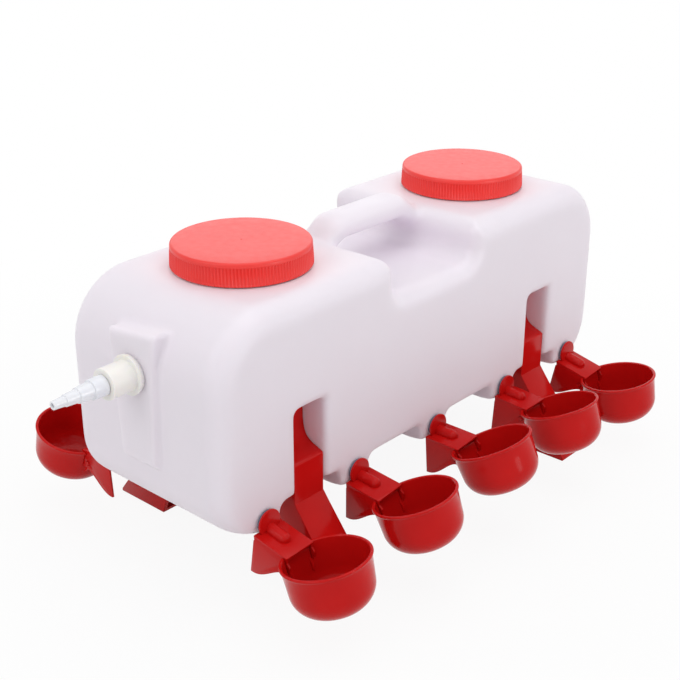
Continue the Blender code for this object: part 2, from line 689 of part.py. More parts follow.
def leg_mesh():
    """One leg for the near side, centred on x = 0: face plate, two side flanges and a sole."""
    face = leg_face()
    half = SLOT_HALF - GAP
    back = SLOT_BACK + GAP
    top = face[0][1]
    flank = face + [(LEG_TOE, 0), (LEG_HEEL, 0), (LEG_HEEL, SOLE), (back, TANK_BOTTOM), (back, top)]
    inner = [(u - LEG_WALL, z) for u, z in face[:-1]] + [(LEG_TOE - LEG_WALL * 1.8, SOLE)]
    far = back - CUTTER_REACH
    hollow = inner + [(LEG_HEEL - 0.02, SOLE), (far, TANK_BOTTOM)]
    hollow += [(far, top + 0.01), (face[0][0] - LEG_WALL, top + 0.01)]
    count = len(flank)
    points = []
    for sign in (-1, 1):
        for u, z in flank:
            spread = max(0.0, 1 - z / TANK_BOTTOM) * (FOOT_HALF - half)
            points.append((sign * (half + spread), -u, z))
    sides = [(i, (i + 1) % count, count + (i + 1) % count, count + i) for i in range(count)]
    front, rear = len(face) - 2, count - 2
    upper = list(range(front + 1)) + [rear, rear + 1]
    lower = list(range(front, rear + 1))
    flats = [tuple(first + i for i in part) for first in (0, count) for part in (upper, lower)]
    solid = mesh_from("leg", points, sides + flats)
    core = loft([[(x, -u, z) for u, z in hollow] for x in (LEG_WALL - half, half - LEG_WALL)])
    wedges = []
    for sign in (-1, 1):
        inside, outside = sign * (half - LEG_CHAMFER - 0.002), sign * (half + 0.002)
        high, low = top + 0.002, top - LEG_CHAMFER - 0.002
        corner = [(inside, high), (outside, high), (outside, low)]
        wedges.append(loft([[(x, y, z) for x, z in corner] for y in (-SIDE, -0.04)]))
    return cut(solid, core, *wedges)


def cap_mesh():
    """A cap about its own axis, with z = 0 at its top."""
    outside = [
        (0, 0.0004), (GATE_RADIUS, 0.0004), (GATE_RADIUS, 0),
        (CAP_RADIUS - CAP_EDGE, 0),
        (CAP_RADIUS - CAP_EDGE * 0.3, -CAP_EDGE * 0.3),
        (CAP_RADIUS, -CAP_EDGE),
        (CAP_RADIUS + CAP_FLARE, -CAP_HEIGHT),
    ]
    bore = CAP_RADIUS - CAP_WALL
    inside = [(bore + CAP_FLARE * 0.5, -CAP_HEIGHT), (bore, -CAP_WALL), (0, -CAP_WALL)]
    return turned(outside + inside, 28)


def liner_mesh():
    return rod(NECK_RADIUS - 0.0005, -CAP_WALL - GAP - LINER_THICKNESS, -CAP_WALL - GAP, 24)


# hose inlet, along Z of its own frame, which points outwards from the tank's end

def inlet_pieces():
    seat = PAD_OUT + GAP
    flange = seat + INLET_WASHER + GAP
    mouth = flange + INLET_FLANGE + INLET_BODY_LENGTH
    washer = tube(INLET_FLANGE_RADIUS - 0.001, INLET_STEM_RADIUS + GAP * 2, seat, seat + INLET_WASHER, 18)
    stem_end = -INLET_STEM_LENGTH
    body = turned(
        [
            (INLET_STEM_RADIUS, stem_end), (INLET_STEM_RADIUS, flange),
            (INLET_FLANGE_RADIUS, flange), (INLET_FLANGE_RADIUS, flange + INLET_FLANGE),
            (INLET_BODY_RADIUS, flange + INLET_FLANGE), (INLET_BODY_RADIUS, mouth),
            (INLET_BORE, mouth), (INLET_BORE, stem_end),
        ],
        18,
    )
    nut_start = PAD_OUT - TANK_WALL - GAP * 2
    corner = INLET_NUT_HALF_FLATS / math.cos(math.pi / 6)
    nut = cut(
        rod(corner, nut_start - INLET_NUT_THICKNESS, nut_start, 6),
        rod(INLET_STEM_RADIUS + GAP * 2, nut_start - CUTTER_REACH, nut_start + CUTTER_REACH, 18),
    )
    start = mouth + GAP
    profile = [(INLET_BORE - GAP * 2, start - BARB_SHANK), (INLET_BORE - GAP * 2, start)]
    for length, root, tip in BARB_STEPS:
        profile.append((root, start))
        start += length
        profile.append((tip, start))
    profile += [(BARB_BORE, start), (BARB_BORE, mouth + GAP - BARB_SHANK)]
    barb = turned(profile, 16)
    return {"inlet_washer": washer, "inlet_fitting": body, "inlet_lock_nut": nut, "hose_barb": barb}


# the object

def place(name, data, finish, matrix, sharp=35.0):
    """Add one named object; meshes are shaded smooth with sharp edges above an angle."""
    made = bpy.data.objects.new(name, data)
    bpy.context.collection.objects.link(made)
    made.matrix_world = matrix
    data.materials.clear()
    data.materials.append(finish)
    if isinstance(data, bpy.types.Mesh):
        data.shade_smooth()
        data.set_sharp_from_angle(angle=math.radians(sharp))
    return made


def build():
    for old in list(bpy.data.objects):
        bpy.data.objects.remove(old)
    milky = material("milky_plastic", (0.86, 0.84, 0.88), 0.42)
    red = material("red_plastic", (0.62, 0.012, 0.010), 0.28)
    cap_red = material("cap_plastic", (0.80, 0.045, 0.030), 0.45)
    rubber = material("dark_rubber", (0.035, 0.040, 0.055), 0.70)
    cream = material("cream_plastic", (0.80, 0.76, 0.68), 0.40)
    clear = material("barb_plastic", (0.80, 0.81, 0.85), 0.30)
    foam = material("liner_foam", (0.82, 0.82, 0.80), 0.80)

    middle = Matrix.Translation((TANK_X, 0, 0))
    place("tank", tank_mesh(), milky, Matrix())

    for label, sign in (("left", -1), ("right", 1)):
        over = Matrix.Translation((TANK_X + sign * CAP_SPACING / 2, 0, CAP_TOP))
        place("cap_" + label, cap_mesh(), cap_red, over)
        place("cap_liner_" + label, liner_mesh(), foam, over)

    for name, data in inlet_pieces().items():
        finish = clear if name == "hose_barb" else cream
        place(name, data, finish, middle @ INLET_AXIS)

    leg = leg_mesh()
    for label, sign in (("left", -1), ("right", 1)):
        for where, turn in (("near", 0), ("far", math.pi)):
            spot = Matrix.Translation((TANK_X + sign * SLOT_X, 0, 0)) @ Matrix.Rotation(turn, 4, "Z")
            place("leg_%s_%s" % (label, where), leg, red, spot)

    cup = cup_mesh()
    plunger = plunger_mesh()
    gasket = gasket_mesh()
    tilt = Matrix.Rotation(math.radians(-CUP_TILT_DEGREES), 4, "X")
    for where, side in (("near", -1), ("far", 1)):
        for k in range(CUP_COUNT):
            tag = "%s_%d" % (where, k + 1)
            root = middle @ cup_frame(side, k)
            arm = root @ sag(side, k)
            valve = arm @ Matrix.Translation((0, -PLUNGER_OUT, 0))
            place("bracket_" + tag, bracket_mesh(sag(side, k)), red, root)
            place("cup_" + tag, cup, red, arm @ PIVOT @ tilt)
            place("valve_plunger_" + tag, plunger, red, valve)
            place("stem_gasket_" + tag, gasket, rubber, root @ STEM_AXIS)


build()
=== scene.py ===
"""Poultry drinker: the visual model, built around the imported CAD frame.

Everything is in metres, in the CAD's own frame: the tank's long axis is X, its hose inlet points to -X,
and the floor is z = 0. The shapes repeat the CAD's named sizes with finer curves and softer edges.
"""

import math
from math import cos, pi, sin

import bmesh
import bpy
import numpy as np
from mathutils import Matrix, Vector


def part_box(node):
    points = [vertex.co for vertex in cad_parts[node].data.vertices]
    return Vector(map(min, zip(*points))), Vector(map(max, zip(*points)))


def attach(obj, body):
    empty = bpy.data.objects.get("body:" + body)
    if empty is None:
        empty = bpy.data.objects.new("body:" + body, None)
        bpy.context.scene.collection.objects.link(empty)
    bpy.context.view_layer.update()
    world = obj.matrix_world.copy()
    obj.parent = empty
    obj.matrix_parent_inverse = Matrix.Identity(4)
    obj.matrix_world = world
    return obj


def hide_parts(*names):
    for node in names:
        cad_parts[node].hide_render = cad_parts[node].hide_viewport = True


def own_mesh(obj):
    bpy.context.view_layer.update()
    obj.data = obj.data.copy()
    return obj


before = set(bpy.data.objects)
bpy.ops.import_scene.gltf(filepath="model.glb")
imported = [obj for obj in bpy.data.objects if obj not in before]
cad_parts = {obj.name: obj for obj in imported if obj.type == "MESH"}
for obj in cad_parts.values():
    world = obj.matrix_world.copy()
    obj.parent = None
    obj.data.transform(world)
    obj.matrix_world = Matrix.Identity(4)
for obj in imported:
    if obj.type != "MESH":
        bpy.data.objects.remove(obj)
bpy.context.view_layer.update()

GAP = 0.0003                 # clearance between pieces that touch
CUTTER_REACH = 0.030         # how far a cutting shape runs on past what it cuts
CUTTER_PROUD = 0.004         # the same for cuts that end just outside a surface
OUTER_CORNER = 0.001         # radius of a cutting outline's corners that lie outside the tank
LEAST_CORNER = 0.0004        # smallest radius that an offset leaves to a corner

# tank
TANK_HALF = 0.260
SIDE = 0.088                 # half the tank's width
TANK_BOTTOM = 0.0660
TANK_TOP = 0.2515
TANK_WALL = 0.0025
TANK_TOP_RADIUS = 0.058
TANK_BOTTOM_RADIUS = 0.047
TANK_SIDE_FILLET = 0.019
UNDERSIDE_FILLET = 0.004     # along the valve blocks and arches
TANK_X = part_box("tank")[1].x - TANK_HALF

# cups, counted along one side
CUP_COUNT = 5
CUP_END = 0.0464             # from the tank's end to the axis of the first cup
CUP_PITCH = (2 * TANK_HALF - 2 * CUP_END) / (CUP_COUNT - 1)
BLOCK_HALF = 0.0195          # half length of the block that carries one valve
ARCH_RISE = 0.0175           # the underside's rise between two blocks
ARCH_RADIUS = 0.006
PLATE_LEVEL = 0.0735
STEM_RISE = 0.0050           # of the stem's axis above the plate's top
# each bracket droops (sag) and leans sideways (twist) a little by itself, as photographed
NEAR_SAG_DEGREES = (10.4, 5.5, 0.0, 4.2, 13.4)
FAR_SAG_DEGREES = (7.5, 5.5, 0.0, 4.2, 13.4)
TWIST_DEGREES = (-2.8, -6.0, -5.0, -1.2, -4.0)

# handle
RECESS_HALF = 0.056
RECESS_FLOOR = 0.2165
RECESS_CORNER = 0.014
RECESS_LIP = 0.015
RECESS_BRIM = 0.0002         # the recess's outline turns outwards this far above the humps
GRIP_HALF_WIDTH = 0.018
GRIP_TOP = 0.2665
GRIP_BOTTOM = 0.2455
GRIP_REACH = 0.074           # half length of the bar, into the humps
GRIP_TOP_FALL = (0.019, 0.038, 0.036)       # depth, where it starts and its length
GRIP_BOTTOM_FALL = (0.014, 0.034, 0.030)
GRIP_SQUARENESS = 0.8        # below 1 the bar's section is squarer than an ellipse
GRIP_BLEND_AT = 0.060        # half length at which the bar meets the humps
GRIP_BLEND_HALF = 0.016

# leg slots and legs
SLOT_HALF = 0.0173
SLOT_TOP = 0.1585
SLOT_BACK = 0.056
SLOT_CORNER = 0.004
SLOT_LIP = 0.006
SLOT_X = CUP_PITCH * 1.5
LEG_WALL = 0.003
LEG_CHAMFER = 0.003
LEG_RECESS = 0.004
LEG_TOP_REACH = 0.062        # distances out are from the tank's middle plane
LEG_SHOULDER = 0.108
LEG_SHELF = 0.010
LEG_RISE = 0.020
LEG_KNEE = PLATE_LEVEL + 0.001
LEG_TOE = 0.1385
LEG_HEEL = 0.080
FOOT_HALF = 0.0187
SOLE = 0.0026

# necks and caps
CAP_END = 0.1134
CAP_SPACING = 2 * (TANK_HALF - CAP_END)
CAP_RADIUS = 0.0570
CAP_FLARE = 0.0008
CAP_HEIGHT = 0.0177
SKIRT_DROP = 0.0012          # the skirt ends this much lower than in the CAD, close above the tank
CAP_WALL = 0.0024
CAP_EDGE = 0.0022            # radius of the top's edge
CAP_CLEARANCE = 0.0022
CAP_RIBS = 132
RIB_DEPTH = 0.0010
RIB_SHAPE = (0.0, 0.0, -0.7, -1.0, -0.7)    # one rib and the groove beside it, as shares of the depth
GATE_MARK = ((0, -0.00045), (0.0006, -0.00040), (0.0009, 0))    # the moulding mark at the top's middle
NECK_RADIUS = 0.0530
NECK_WALL = 0.0030
NECK_ROOT = 0.0120           # how far the neck's foot lies below the hump's top
NECK_EASE = 0.0006
THREAD_DEPTH = 0.0010
THREAD_PITCH = 0.0060
THREAD_TURNS = 1.5
THREAD_START = 0.0115        # its lower end, below the neck's rim
THREAD_FOOT = 0.0004         # how deep it is rooted in the neck
THREAD_HALF_FOOT = 0.0012
THREAD_HALF_CREST = 0.0004
THREAD_CLIMB = 0.95          # share of the pitch that it climbs in a turn
LINER_THICKNESS = 0.0012
CAP_TOP = TANK_TOP + CAP_CLEARANCE + CAP_HEIGHT
NECK_TOP = CAP_TOP - CAP_WALL - LINER_THICKNESS - 2 * GAP

# valve bracket, measured outwards from the tank's side
GASKET_THICKNESS = 0.0020
GASKET_RADIUS = 0.0099
GASKET_EASE = 0.0005
FLANGE_RADIUS = 0.0113
FLANGE_THICKNESS = 0.0020
FLANGE_BACK = GASKET_THICKNESS + 2 * GAP
PLATE_ROOT = FLANGE_BACK + FLANGE_THICKNESS / 2
PLATE_GAP_HALF = 0.0090      # the plate is cut out around the gasket this wide to each side
PLATE_GAP_DEPTH = FLANGE_BACK + 0.0005
STEM_RADIUS = 0.0050
STEM_LENGTH = 0.0130
STEM_NUT_RADIUS = 0.0085     # across its corners
STEM_NUT_THICKNESS = 0.0045
HOLE_CLEARANCE = 0.0003      # of the holes in the tank's wall
DRILL_REACH = 0.0120
PLATE_HALF = 0.01485
PLATE_LENGTH = 0.0365
PLATE_THICKNESS = 0.0020
PLATE_EASE = 0.00035
CHANNEL_RADIUS = 0.0052
CHANNEL_LENGTH = 0.0245
CHANNEL_RISE = 0.0006
SIDE_WALL = 0.0020
SIDE_WALL_DROP = 0.0370
SIDE_WALL_BACK = 0.0008      # the side walls, and the plate beside the flange, end just off the tank
SIDE_WALL_EASE = 0.00028
PLATE_OVERHANG = 0.0002      # the plate stands this far proud of the walls below it
TOE_LOBE = 0.0036            # a lobe at each side wall's toe closes the bowl's slot to the eye
BELOW_TANK = TANK_BOTTOM - PLATE_LEVEL + 0.002      # a drooping arm is cut clear of the tank above this
SEAT_RADIUS = 0.0014         # the water hole, which the plunger's needle enters
SEAT_BELOW = 0.004
SEAT_ABOVE = 0.0045

# hinge, plunger and spring
PIVOT_OUT = 0.0315
PIVOT_DROP = 0.0120
TRUNNION_RADIUS = 0.0019
TRUNNION_CLEARANCE = 0.0005
TRUNNION_PROUD = 0.0003      # past the side wall
PLUNGER_OUT = 0.0210
PLUNGER_STEM = 0.0018
PLUNGER_COLLAR = 0.0034
COLLAR_THICKNESS = 0.0015
NEEDLE_RADIUS = 0.0008
NEEDLE_ENTRY = 0.0008        # into the water hole at rest
SPRING_RADIUS = 0.0026
SPRING_WIRE = 0.00032
SPRING_TURNS = 6

# cup
CUP_RADIUS = 0.0365
CUP_DEPTH = 0.0430
CUP_WALL = 0.0016
RIM_HEIGHT = 0.0022
RIM_STEP = 0.0012
CUP_TAPER = 0.0014           # fall of the radius from the rim to the end of the straight part
CUP_STRAIGHT = 0.0230
CUP_TAPER_AT = 0.52          # half the taper is reached at this share of the straight part
CUP_FLOOR_RADIUS = 0.0135
CUP_AHEAD = 0.0364           # the bowl's axis and rim, from the hinge
CUP_ABOVE = 0.0089
CUP_TILT_DEGREES = 23.5      # empty, as photographed; a full cup hangs level
NOTCH_HALF = PLATE_HALF + 0.0002
NOTCH_DEPTH = 0.0140         # the two slots for the bracket's side walls, below the rim
SILL_DROP = 0.0044           # the lowered rim between them, under the plate
SILL_INSET = 0.0003
NOTCH_AHEAD = 0.012
NOTCH_BEHIND = 0.006
EAR_THICKNESS = 0.0022
EAR_OUTER = PLATE_HALF - SIDE_WALL - 0.00045
EAR_OUTLINE = (              # distance out and height, from the hinge
    (-0.0030, 0.0), (0.0034, 0.0), (0.0074, -0.0090),
    (0.0072, -0.0145), (0.0049, -0.0145), (-0.0025, -0.0050),
)
TONGUE_REACH = 0.0140
TONGUE_THICKNESS = 0.0020
TONGUE_RISE_DEGREES = 12.0

# hose inlet
INLET_HEIGHT = 0.1955
PAD_OUT = 0.0045
PAD_HALF_WIDTH = 0.0268      # at its top
PAD_HALF_FOOT = 0.0205
PAD_LEAN = 0.0033            # its top edge is this much higher at one side and lower at the other
PAD_DEPTH = 0.022
PAD_SLOPE = 0.0025
PAD_LOW = INLET_HEIGHT - 0.0765
PAD_HIGH = INLET_HEIGHT + 0.0355
INLET_WASHER = 0.0015
INLET_FLANGE_RADIUS = 0.0165
INLET_FLANGE = 0.0030
INLET_BODY_RADIUS = 0.0127
INLET_BODY_LENGTH = 0.0215
INLET_STEM_RADIUS = 0.0104
INLET_STEM_LENGTH = 0.0090
INLET_BORE = 0.0062
INLET_NUT_THICKNESS = 0.0060
INLET_NUT_HALF_FLATS = 0.0150
BARB_SHANK = 0.0120
BARB_BORE = 0.0018
BARB_STEPS = (                # length, radius at the root and radius at the tip of each step
    (0.0120, 0.0086, 0.0080),
    (0.0120, 0.0068, 0.0062),
    (0.0110, 0.0053, 0.0047),
    (0.0105, 0.0040, 0.0034),
)

# smoothness of the moulded tank
VOXEL = 0.0017
SOFTEN_ROUNDS = 9
BLEND_ROUNDS = 28
SOFTEN_WEIGHT = 0.5
PAD_WEIGHT = 0.12            # on the end pad, whose edges stay crisper

# camera, as calibrated on the photograph, and the light
CAMERA_PLACE = Vector((-0.7434, -0.6721, 0.5930))
CAMERA_HEADING = math.radians(41.75)
CAMERA_PITCH = math.radians(23.94)
CAMERA_LENS = 64.9
AMBIENT = 0.68               # the world's strength for light
FLOOR_WHITE = 0.91           # the floor's share of plain white around the object
FLOOR_DROP = 0.0002          # the floor lies this far below the soles
WHITE_FROM = (0.15, 0.75)    # the distances from the middle over which the floor turns all white
LIT_POINT = (0.0, 0.0, 0.12)


# mesh helpers

def mesh_from(name, points, faces):
    mesh = bpy.data.meshes.new(name)
    mesh.from_pydata([tuple(p) for p in points], [], faces)
    mesh.update()
    work = bmesh.new()
    work.from_mesh(mesh)
    bmesh.ops.recalc_face_normals(work, faces=work.faces)
    work.to_mesh(mesh)
    work.free()
    return mesh


def loft(rings):
    """A solid through rings of equally many points, capped at both ends."""
    count = len(rings[0])
    points = [p for ring in rings for p in ring]
    faces = [tuple(range(count)), tuple(range(len(points) - count, len(points)))]
    for r in range(len(rings) - 1):
        s = r + 1
        for i in range(count):
            j = (i + 1) % count
            faces.append((r * count + i, r * count + j, s * count + j, s * count + i))
    return mesh_from("loft", points, faces)


def turned(profile, segments, wave=None):
    """Turn a profile of (radius, height) about Z. It is closed, or it starts and ends on the axis.

    wave gives each (profile index, segment) an addition to the radius."""
    open_profile = profile[0][0] == 0 and profile[-1][0] == 0
    points = []
    index = []
    for b, (radius, height) in enumerate(profile):
        if radius == 0:
            index.append([len(points)] * segments)
            points.append((0, 0, height))
            continue
        index.append([len(points) + k for k in range(segments)])
        for k in range(segments):
            angle = 2 * pi * k / segments
            reach = radius + (wave(b, k) if wave else 0)
            points.append((reach * cos(angle), reach * sin(angle), height))
    bands = len(profile) - 1 if open_profile else len(profile)
    faces = []
    for b in range(bands):
        low, high = index[b], index[(b + 1) % len(profile)]
        for k in range(segments):
            n = (k + 1) % segments
            corners = [low[k], low[n], high[n], high[k]]
            faces.append(tuple(dict.fromkeys(corners)))
    return mesh_from("turned", points, faces)


def rod(radius, start, end, segments):
    return turned([(0, start), (radius, start), (radius, end), (0, end)], segments)


def block(low, high):
    (x0, y0, z0), (x1, y1, z1) = low, high
    ring = [(x0, y0), (x1, y0), (x1, y1), (x0, y1)]
    return loft([[(x, y, z) for x, y in ring] for z in (z0, z1)])


def eased(profile, radius, steps=3):
    """Round the corners of a (radius, height) profile that turn by more than 30 degrees."""
    points = []
    count = len(profile)
    closed = not (profile[0][0] == 0 and profile[-1][0] == 0)
    for i, point in enumerate(profile):
        here = Vector(point)
        if not closed and i in (0, count - 1):
            points.append(tuple(point))
            continue
        along_in, along_out = here - Vector(profile[i - 1]), Vector(profile[(i + 1) % count]) - here
        turn = along_in.angle(along_out)
        if turn < math.radians(30):
            points.append(tuple(point))
            continue
        reach = min(radius * math.tan(turn / 2), along_in.length * 0.45, along_out.length * 0.45)
        start, end = here - along_in.normalized() * reach, here + along_out.normalized() * reach
        for k in range(steps + 1):
            t = k / steps
            points.append(tuple((1 - t) ** 2 * start + 2 * t * (1 - t) * here + t * t * end))
    return points


def moved(mesh, matrix):
    copy = mesh.copy()
    copy.transform(matrix)
    return copy


def add_object(name, data):
    made = bpy.data.objects.new(name, data)
    bpy.context.scene.collection.objects.link(made)
    return made


def applied(mesh, *modifiers):
    """The mesh with each modifier, as (type, {property: value}), applied in turn."""
    base = add_object("base", mesh)
    helpers = [base]
    for kind, values in modifiers:
        modifier = base.modifiers.new(kind.lower(), kind)
        for key, value in values.items():
            if isinstance(value, bpy.types.Mesh):
                value = add_object("operand", value)
                helpers.append(value)
            setattr(modifier, key, value)
    graph = bpy.context.evaluated_depsgraph_get()
    result = bpy.data.meshes.new_from_object(base.evaluated_get(graph))
    for helper in helpers:
        bpy.data.objects.remove(helper)
    return result


def combine(mesh, operation, operands):
    values = {"operation": operation, "solver": "MANIFOLD"}
    return applied(mesh, *[("BOOLEAN", {**values, "object": operand}) for operand in operands])


def cut(mesh, *operands):
    return combine(mesh, "DIFFERENCE", operands)


def join(mesh, *operands):
    return combine(mesh, "UNION", operands)


def gathered(*meshes):
    """Several shells in one mesh."""
    work = bmesh.new()
    for mesh in meshes:
        work.from_mesh(mesh)
    result = bpy.data.meshes.new("gathered")
    work.to_mesh(result)
    work.free()
    return result


def bevelled(mesh, width, degrees=32.0, steps=2):
    """Round every edge that is sharper than an angle."""
    work = bmesh.new()
    work.from_mesh(mesh)
    limit = math.radians(degrees)
    edges = [e for e in work.edges if len(e.link_faces) == 2 and e.calc_face_angle(0.0) > limit]
    bmesh.ops.bevel(
        work, geom=edges, offset=width, segments=steps, profile=0.5, affect="EDGES", clamp_overlap=True
    )
    result = bpy.data.meshes.new("bevelled")
    work.to_mesh(result)
    work.free()
    return result


def along_edges(corners, i):
    """The directions of the outline's edges into and out of a corner."""
    x, z, _ = corners[i]
    before = corners[i - 1]
    after = corners[(i + 1) % len(corners)]
    along_in = Vector((x - before[0], z - before[1])).normalized()
    return along_in, Vector((after[0] - x, after[1] - z)).normalized()


def offset_corners(corners, distances):
    """Move each edge of a counter-clockwise outline inwards. A corner is (x, z, radius)."""
    moved_corners = []
    for i, (x, z, radius) in enumerate(corners):
        along_in, along_out = along_edges(corners, i)
        inset_in = distances[i - 1]
        inset_out = distances[i]
        start = Vector((x, z)) + inset_in * Vector((-along_in.y, along_in.x))
        goal = Vector((x, z)) + inset_out * Vector((-along_out.y, along_out.x))
        turn = along_in.cross(along_out)
        place = start + along_in * ((goal - start).cross(along_out) / turn)
        change = (inset_in + inset_out) / 2
        new_radius = radius - change if turn > 0 else radius + change
        moved_corners.append((place.x, place.y, max(new_radius, LEAST_CORNER)))
    return moved_corners


def rounded(corners, pieces):
    """The points of an outline whose corners are arcs; pieces holds the number of chords of each."""
    points = []
    for i, (x, z, radius) in enumerate(corners):
        along_in, along_out = along_edges(corners, i)
        turn = math.atan2(along_in.cross(along_out), along_in.dot(along_out))
        reach = radius * math.tan(abs(turn) / 2)
        start = Vector((x, z)) - along_in * reach
        side = math.copysign(1.0, turn)
        centre = start + radius * side * Vector((-along_in.y, along_in.x))
        arm = start - centre
        for k in range(pieces[i] + 1):
            angle = turn * k / pieces[i]
            points.append(centre + Matrix.Rotation(angle, 2) @ arm)
    return points


def smooth(t):
    """A soft step from 0 to 1."""
    t = min(max(t, 0.0), 1.0)
    return t * t * (3 - 2 * t)


# tank

def tank_corners(fine):
    """The tank's outline from the side: corners as (x, z, radius), chords for each, and edge fillets."""
    corners = [(-TANK_HALF, TANK_BOTTOM, TANK_BOTTOM_RADIUS)]
    pieces = [10 if fine else 4]
    for k in range(CUP_COUNT - 1):
        left = CUP_PITCH * (k - (CUP_COUNT - 1) / 2) + BLOCK_HALF
        right = left + CUP_PITCH - 2 * BLOCK_HALF
        for x, z in ((left, 0), (left, ARCH_RISE), (right, ARCH_RISE), (right, 0)):
            corners.append((x, TANK_BOTTOM + z, ARCH_RADIUS))
            pieces.append(6 if fine else 2)
    underside = len(corners)
    corners += [(TANK_HALF, TANK_BOTTOM, TANK_BOTTOM_RADIUS)]
    corners += [(TANK_HALF, TANK_TOP, TANK_TOP_RADIUS), (-TANK_HALF, TANK_TOP, TANK_TOP_RADIUS)]
    pieces += [10, 22, 22] if fine else [4, 6, 6]
    fillets = [UNDERSIDE_FILLET if i < underside else TANK_SIDE_FILLET for i in range(len(corners))]
    return corners, pieces, fillets


def tank_body(inset, fine):
    """The tank without its handle, slots and pad; inset moves every surface inwards."""
    corners, pieces, fillets = tank_corners(fine)
    half = SIDE - inset
    steps = 9 if fine else 3
    rings = []
    for side in (-1, 1):
        order = range(steps + 1) if side < 0 else range(steps, -1, -1)
        for k in order:
            angle = pi / 2 * k / steps
            y = half - (TANK_SIDE_FILLET - inset) * (1 - cos(angle))
            share = (1 - sin(angle)) * (TANK_SIDE_FILLET - inset) / TANK_SIDE_FILLET
            distances = [inset + share * fillet for fillet in fillets]
            outline = rounded(offset_corners(corners, distances), pieces)
            rings.append([(p.x, side * y, p.y) for p in outline])
    return loft(rings)


def flared(corners, pieces, stations, edges):
    """Loft an outline along Y. A station is (y, how far the outline's listed edges move out there)."""
    rings = []
    for y, growth in stations:
        distances = [-growth if i in edges else 0.0 for i in range(len(corners))]
        outline = rounded(offset_corners(corners, distances), pieces)
        rings.append([(p.x, y, p.y) for p in outline])
    return loft(rings)


def lip_stations(face, lip, fine):
    """Stations from a side face inwards that round the edge of an opening outwards."""
    stations = [(face + CUTTER_PROUD, lip), (face, lip)]
    steps = 8 if fine else 2
    for k in range(1, steps + 1):
        angle = pi / 2 * k / steps
        stations.append((face - lip * (1 - cos(angle)), lip * (1 - sin(angle))))
    return stations


def recess(inset, fine):
    above = TANK_TOP + CUTTER_REACH
    wide = RECESS_HALF + CUTTER_REACH
    brim = TANK_TOP + RECESS_BRIM
    corners = [
        (-RECESS_HALF, RECESS_FLOOR, RECESS_CORNER), (RECESS_HALF, RECESS_FLOOR, RECESS_CORNER),
        (RECESS_HALF, brim, RECESS_LIP), (wide, brim, OUTER_CORNER), (wide, above, OUTER_CORNER),
        (-wide, above, OUTER_CORNER), (-wide, brim, OUTER_CORNER), (-RECESS_HALF, brim, RECESS_LIP),
    ]
    arc = 10 if fine else 3
    pieces = [arc, arc, arc, 1, 1, 1, 1, arc]
    grown = offset_corners(corners, [-inset] * len(corners))
    right = lip_stations(SIDE - inset, RECESS_LIP - inset, fine)
    left = [(-y, growth) for y, growth in right]
    return flared(grown, pieces, left + right[::-1], (0, 1, 7))


def fall(x, shape):
    """How far the grip's edge has come down at a distance from its middle."""
    depth, start, length = shape
    return depth * smooth((x - start) / length)


def grip(inset, fine):
    rings = []
    stations = 60 if fine else 12
    around = 48 if fine else 12
    for k in range(stations + 1):
        x = GRIP_REACH * (2 * k / stations - 1)
        top = GRIP_TOP - fall(abs(x), GRIP_TOP_FALL) - inset
        bottom = GRIP_BOTTOM - fall(abs(x), GRIP_BOTTOM_FALL) + inset
        width = GRIP_HALF_WIDTH - inset
        ring = []
        for n in range(around):
            angle = 2 * pi * n / around
            c, s = cos(angle), sin(angle)
            y = width * math.copysign(abs(c) ** GRIP_SQUARENESS, c)
            z = (top + bottom) / 2 + (top - bottom) / 2 * math.copysign(abs(s) ** GRIP_SQUARENESS, s)
            ring.append((x, y, z))
        rings.append(ring)
    return loft(rings)


def slot(x, side, inset, fine):
    """The cutter for a leg's slot in one side of the tank."""
    low = TANK_BOTTOM - CUTTER_REACH
    corners = [
        (x - SLOT_HALF, low, OUTER_CORNER),
        (x + SLOT_HALF, low, OUTER_CORNER),
        (x + SLOT_HALF, SLOT_TOP, SLOT_CORNER),
        (x - SLOT_HALF, SLOT_TOP, SLOT_CORNER),
    ]
    grown = offset_corners(corners, [-inset] * len(corners))
    stations = lip_stations(SIDE - inset, SLOT_LIP - inset, fine) + [(SLOT_BACK - inset, 0)]
    arc = 6 if fine else 2
    return flared(grown, [1, 1, arc, arc], [(side * y, growth) for y, growth in stations], (0, 1, 2, 3))


def end_pad(inset):
    """The raised pad that carries the hose inlet."""
    rings = []
    for out, slope in ((2 * inset - PAD_DEPTH, 0.0), (PAD_OUT * 0.5, 0.0), (PAD_OUT, PAD_SLOPE)):
        x = inset - TANK_HALF - out
        half, foot = PAD_HALF_WIDTH - slope - inset, PAD_HALF_FOOT - slope - inset
        low, high = PAD_LOW + slope + inset, PAD_HIGH - PAD_LEAN / 2 - slope - inset
        lower = [(x, -foot, low), (x, foot, low)]
        upper = [(x, half, high - PAD_LEAN), (x, -half, high + PAD_LEAN)]
        rings.append(lower + upper)
    return loft(rings)


def tank_form(inset, fine):
    slots = [slot(side_x * SLOT_X, side, inset, fine) for side_x in (-1, 1) for side in (-1, 1)]
    body = cut(tank_body(inset, fine), recess(inset, fine), *slots)
    return join(body, grip(inset, fine), end_pad(inset))


def over_necks(mesh):
    return [moved(mesh, Matrix.Translation((x * CAP_SPACING / 2, 0, 0))) for x in (-1, 1)]


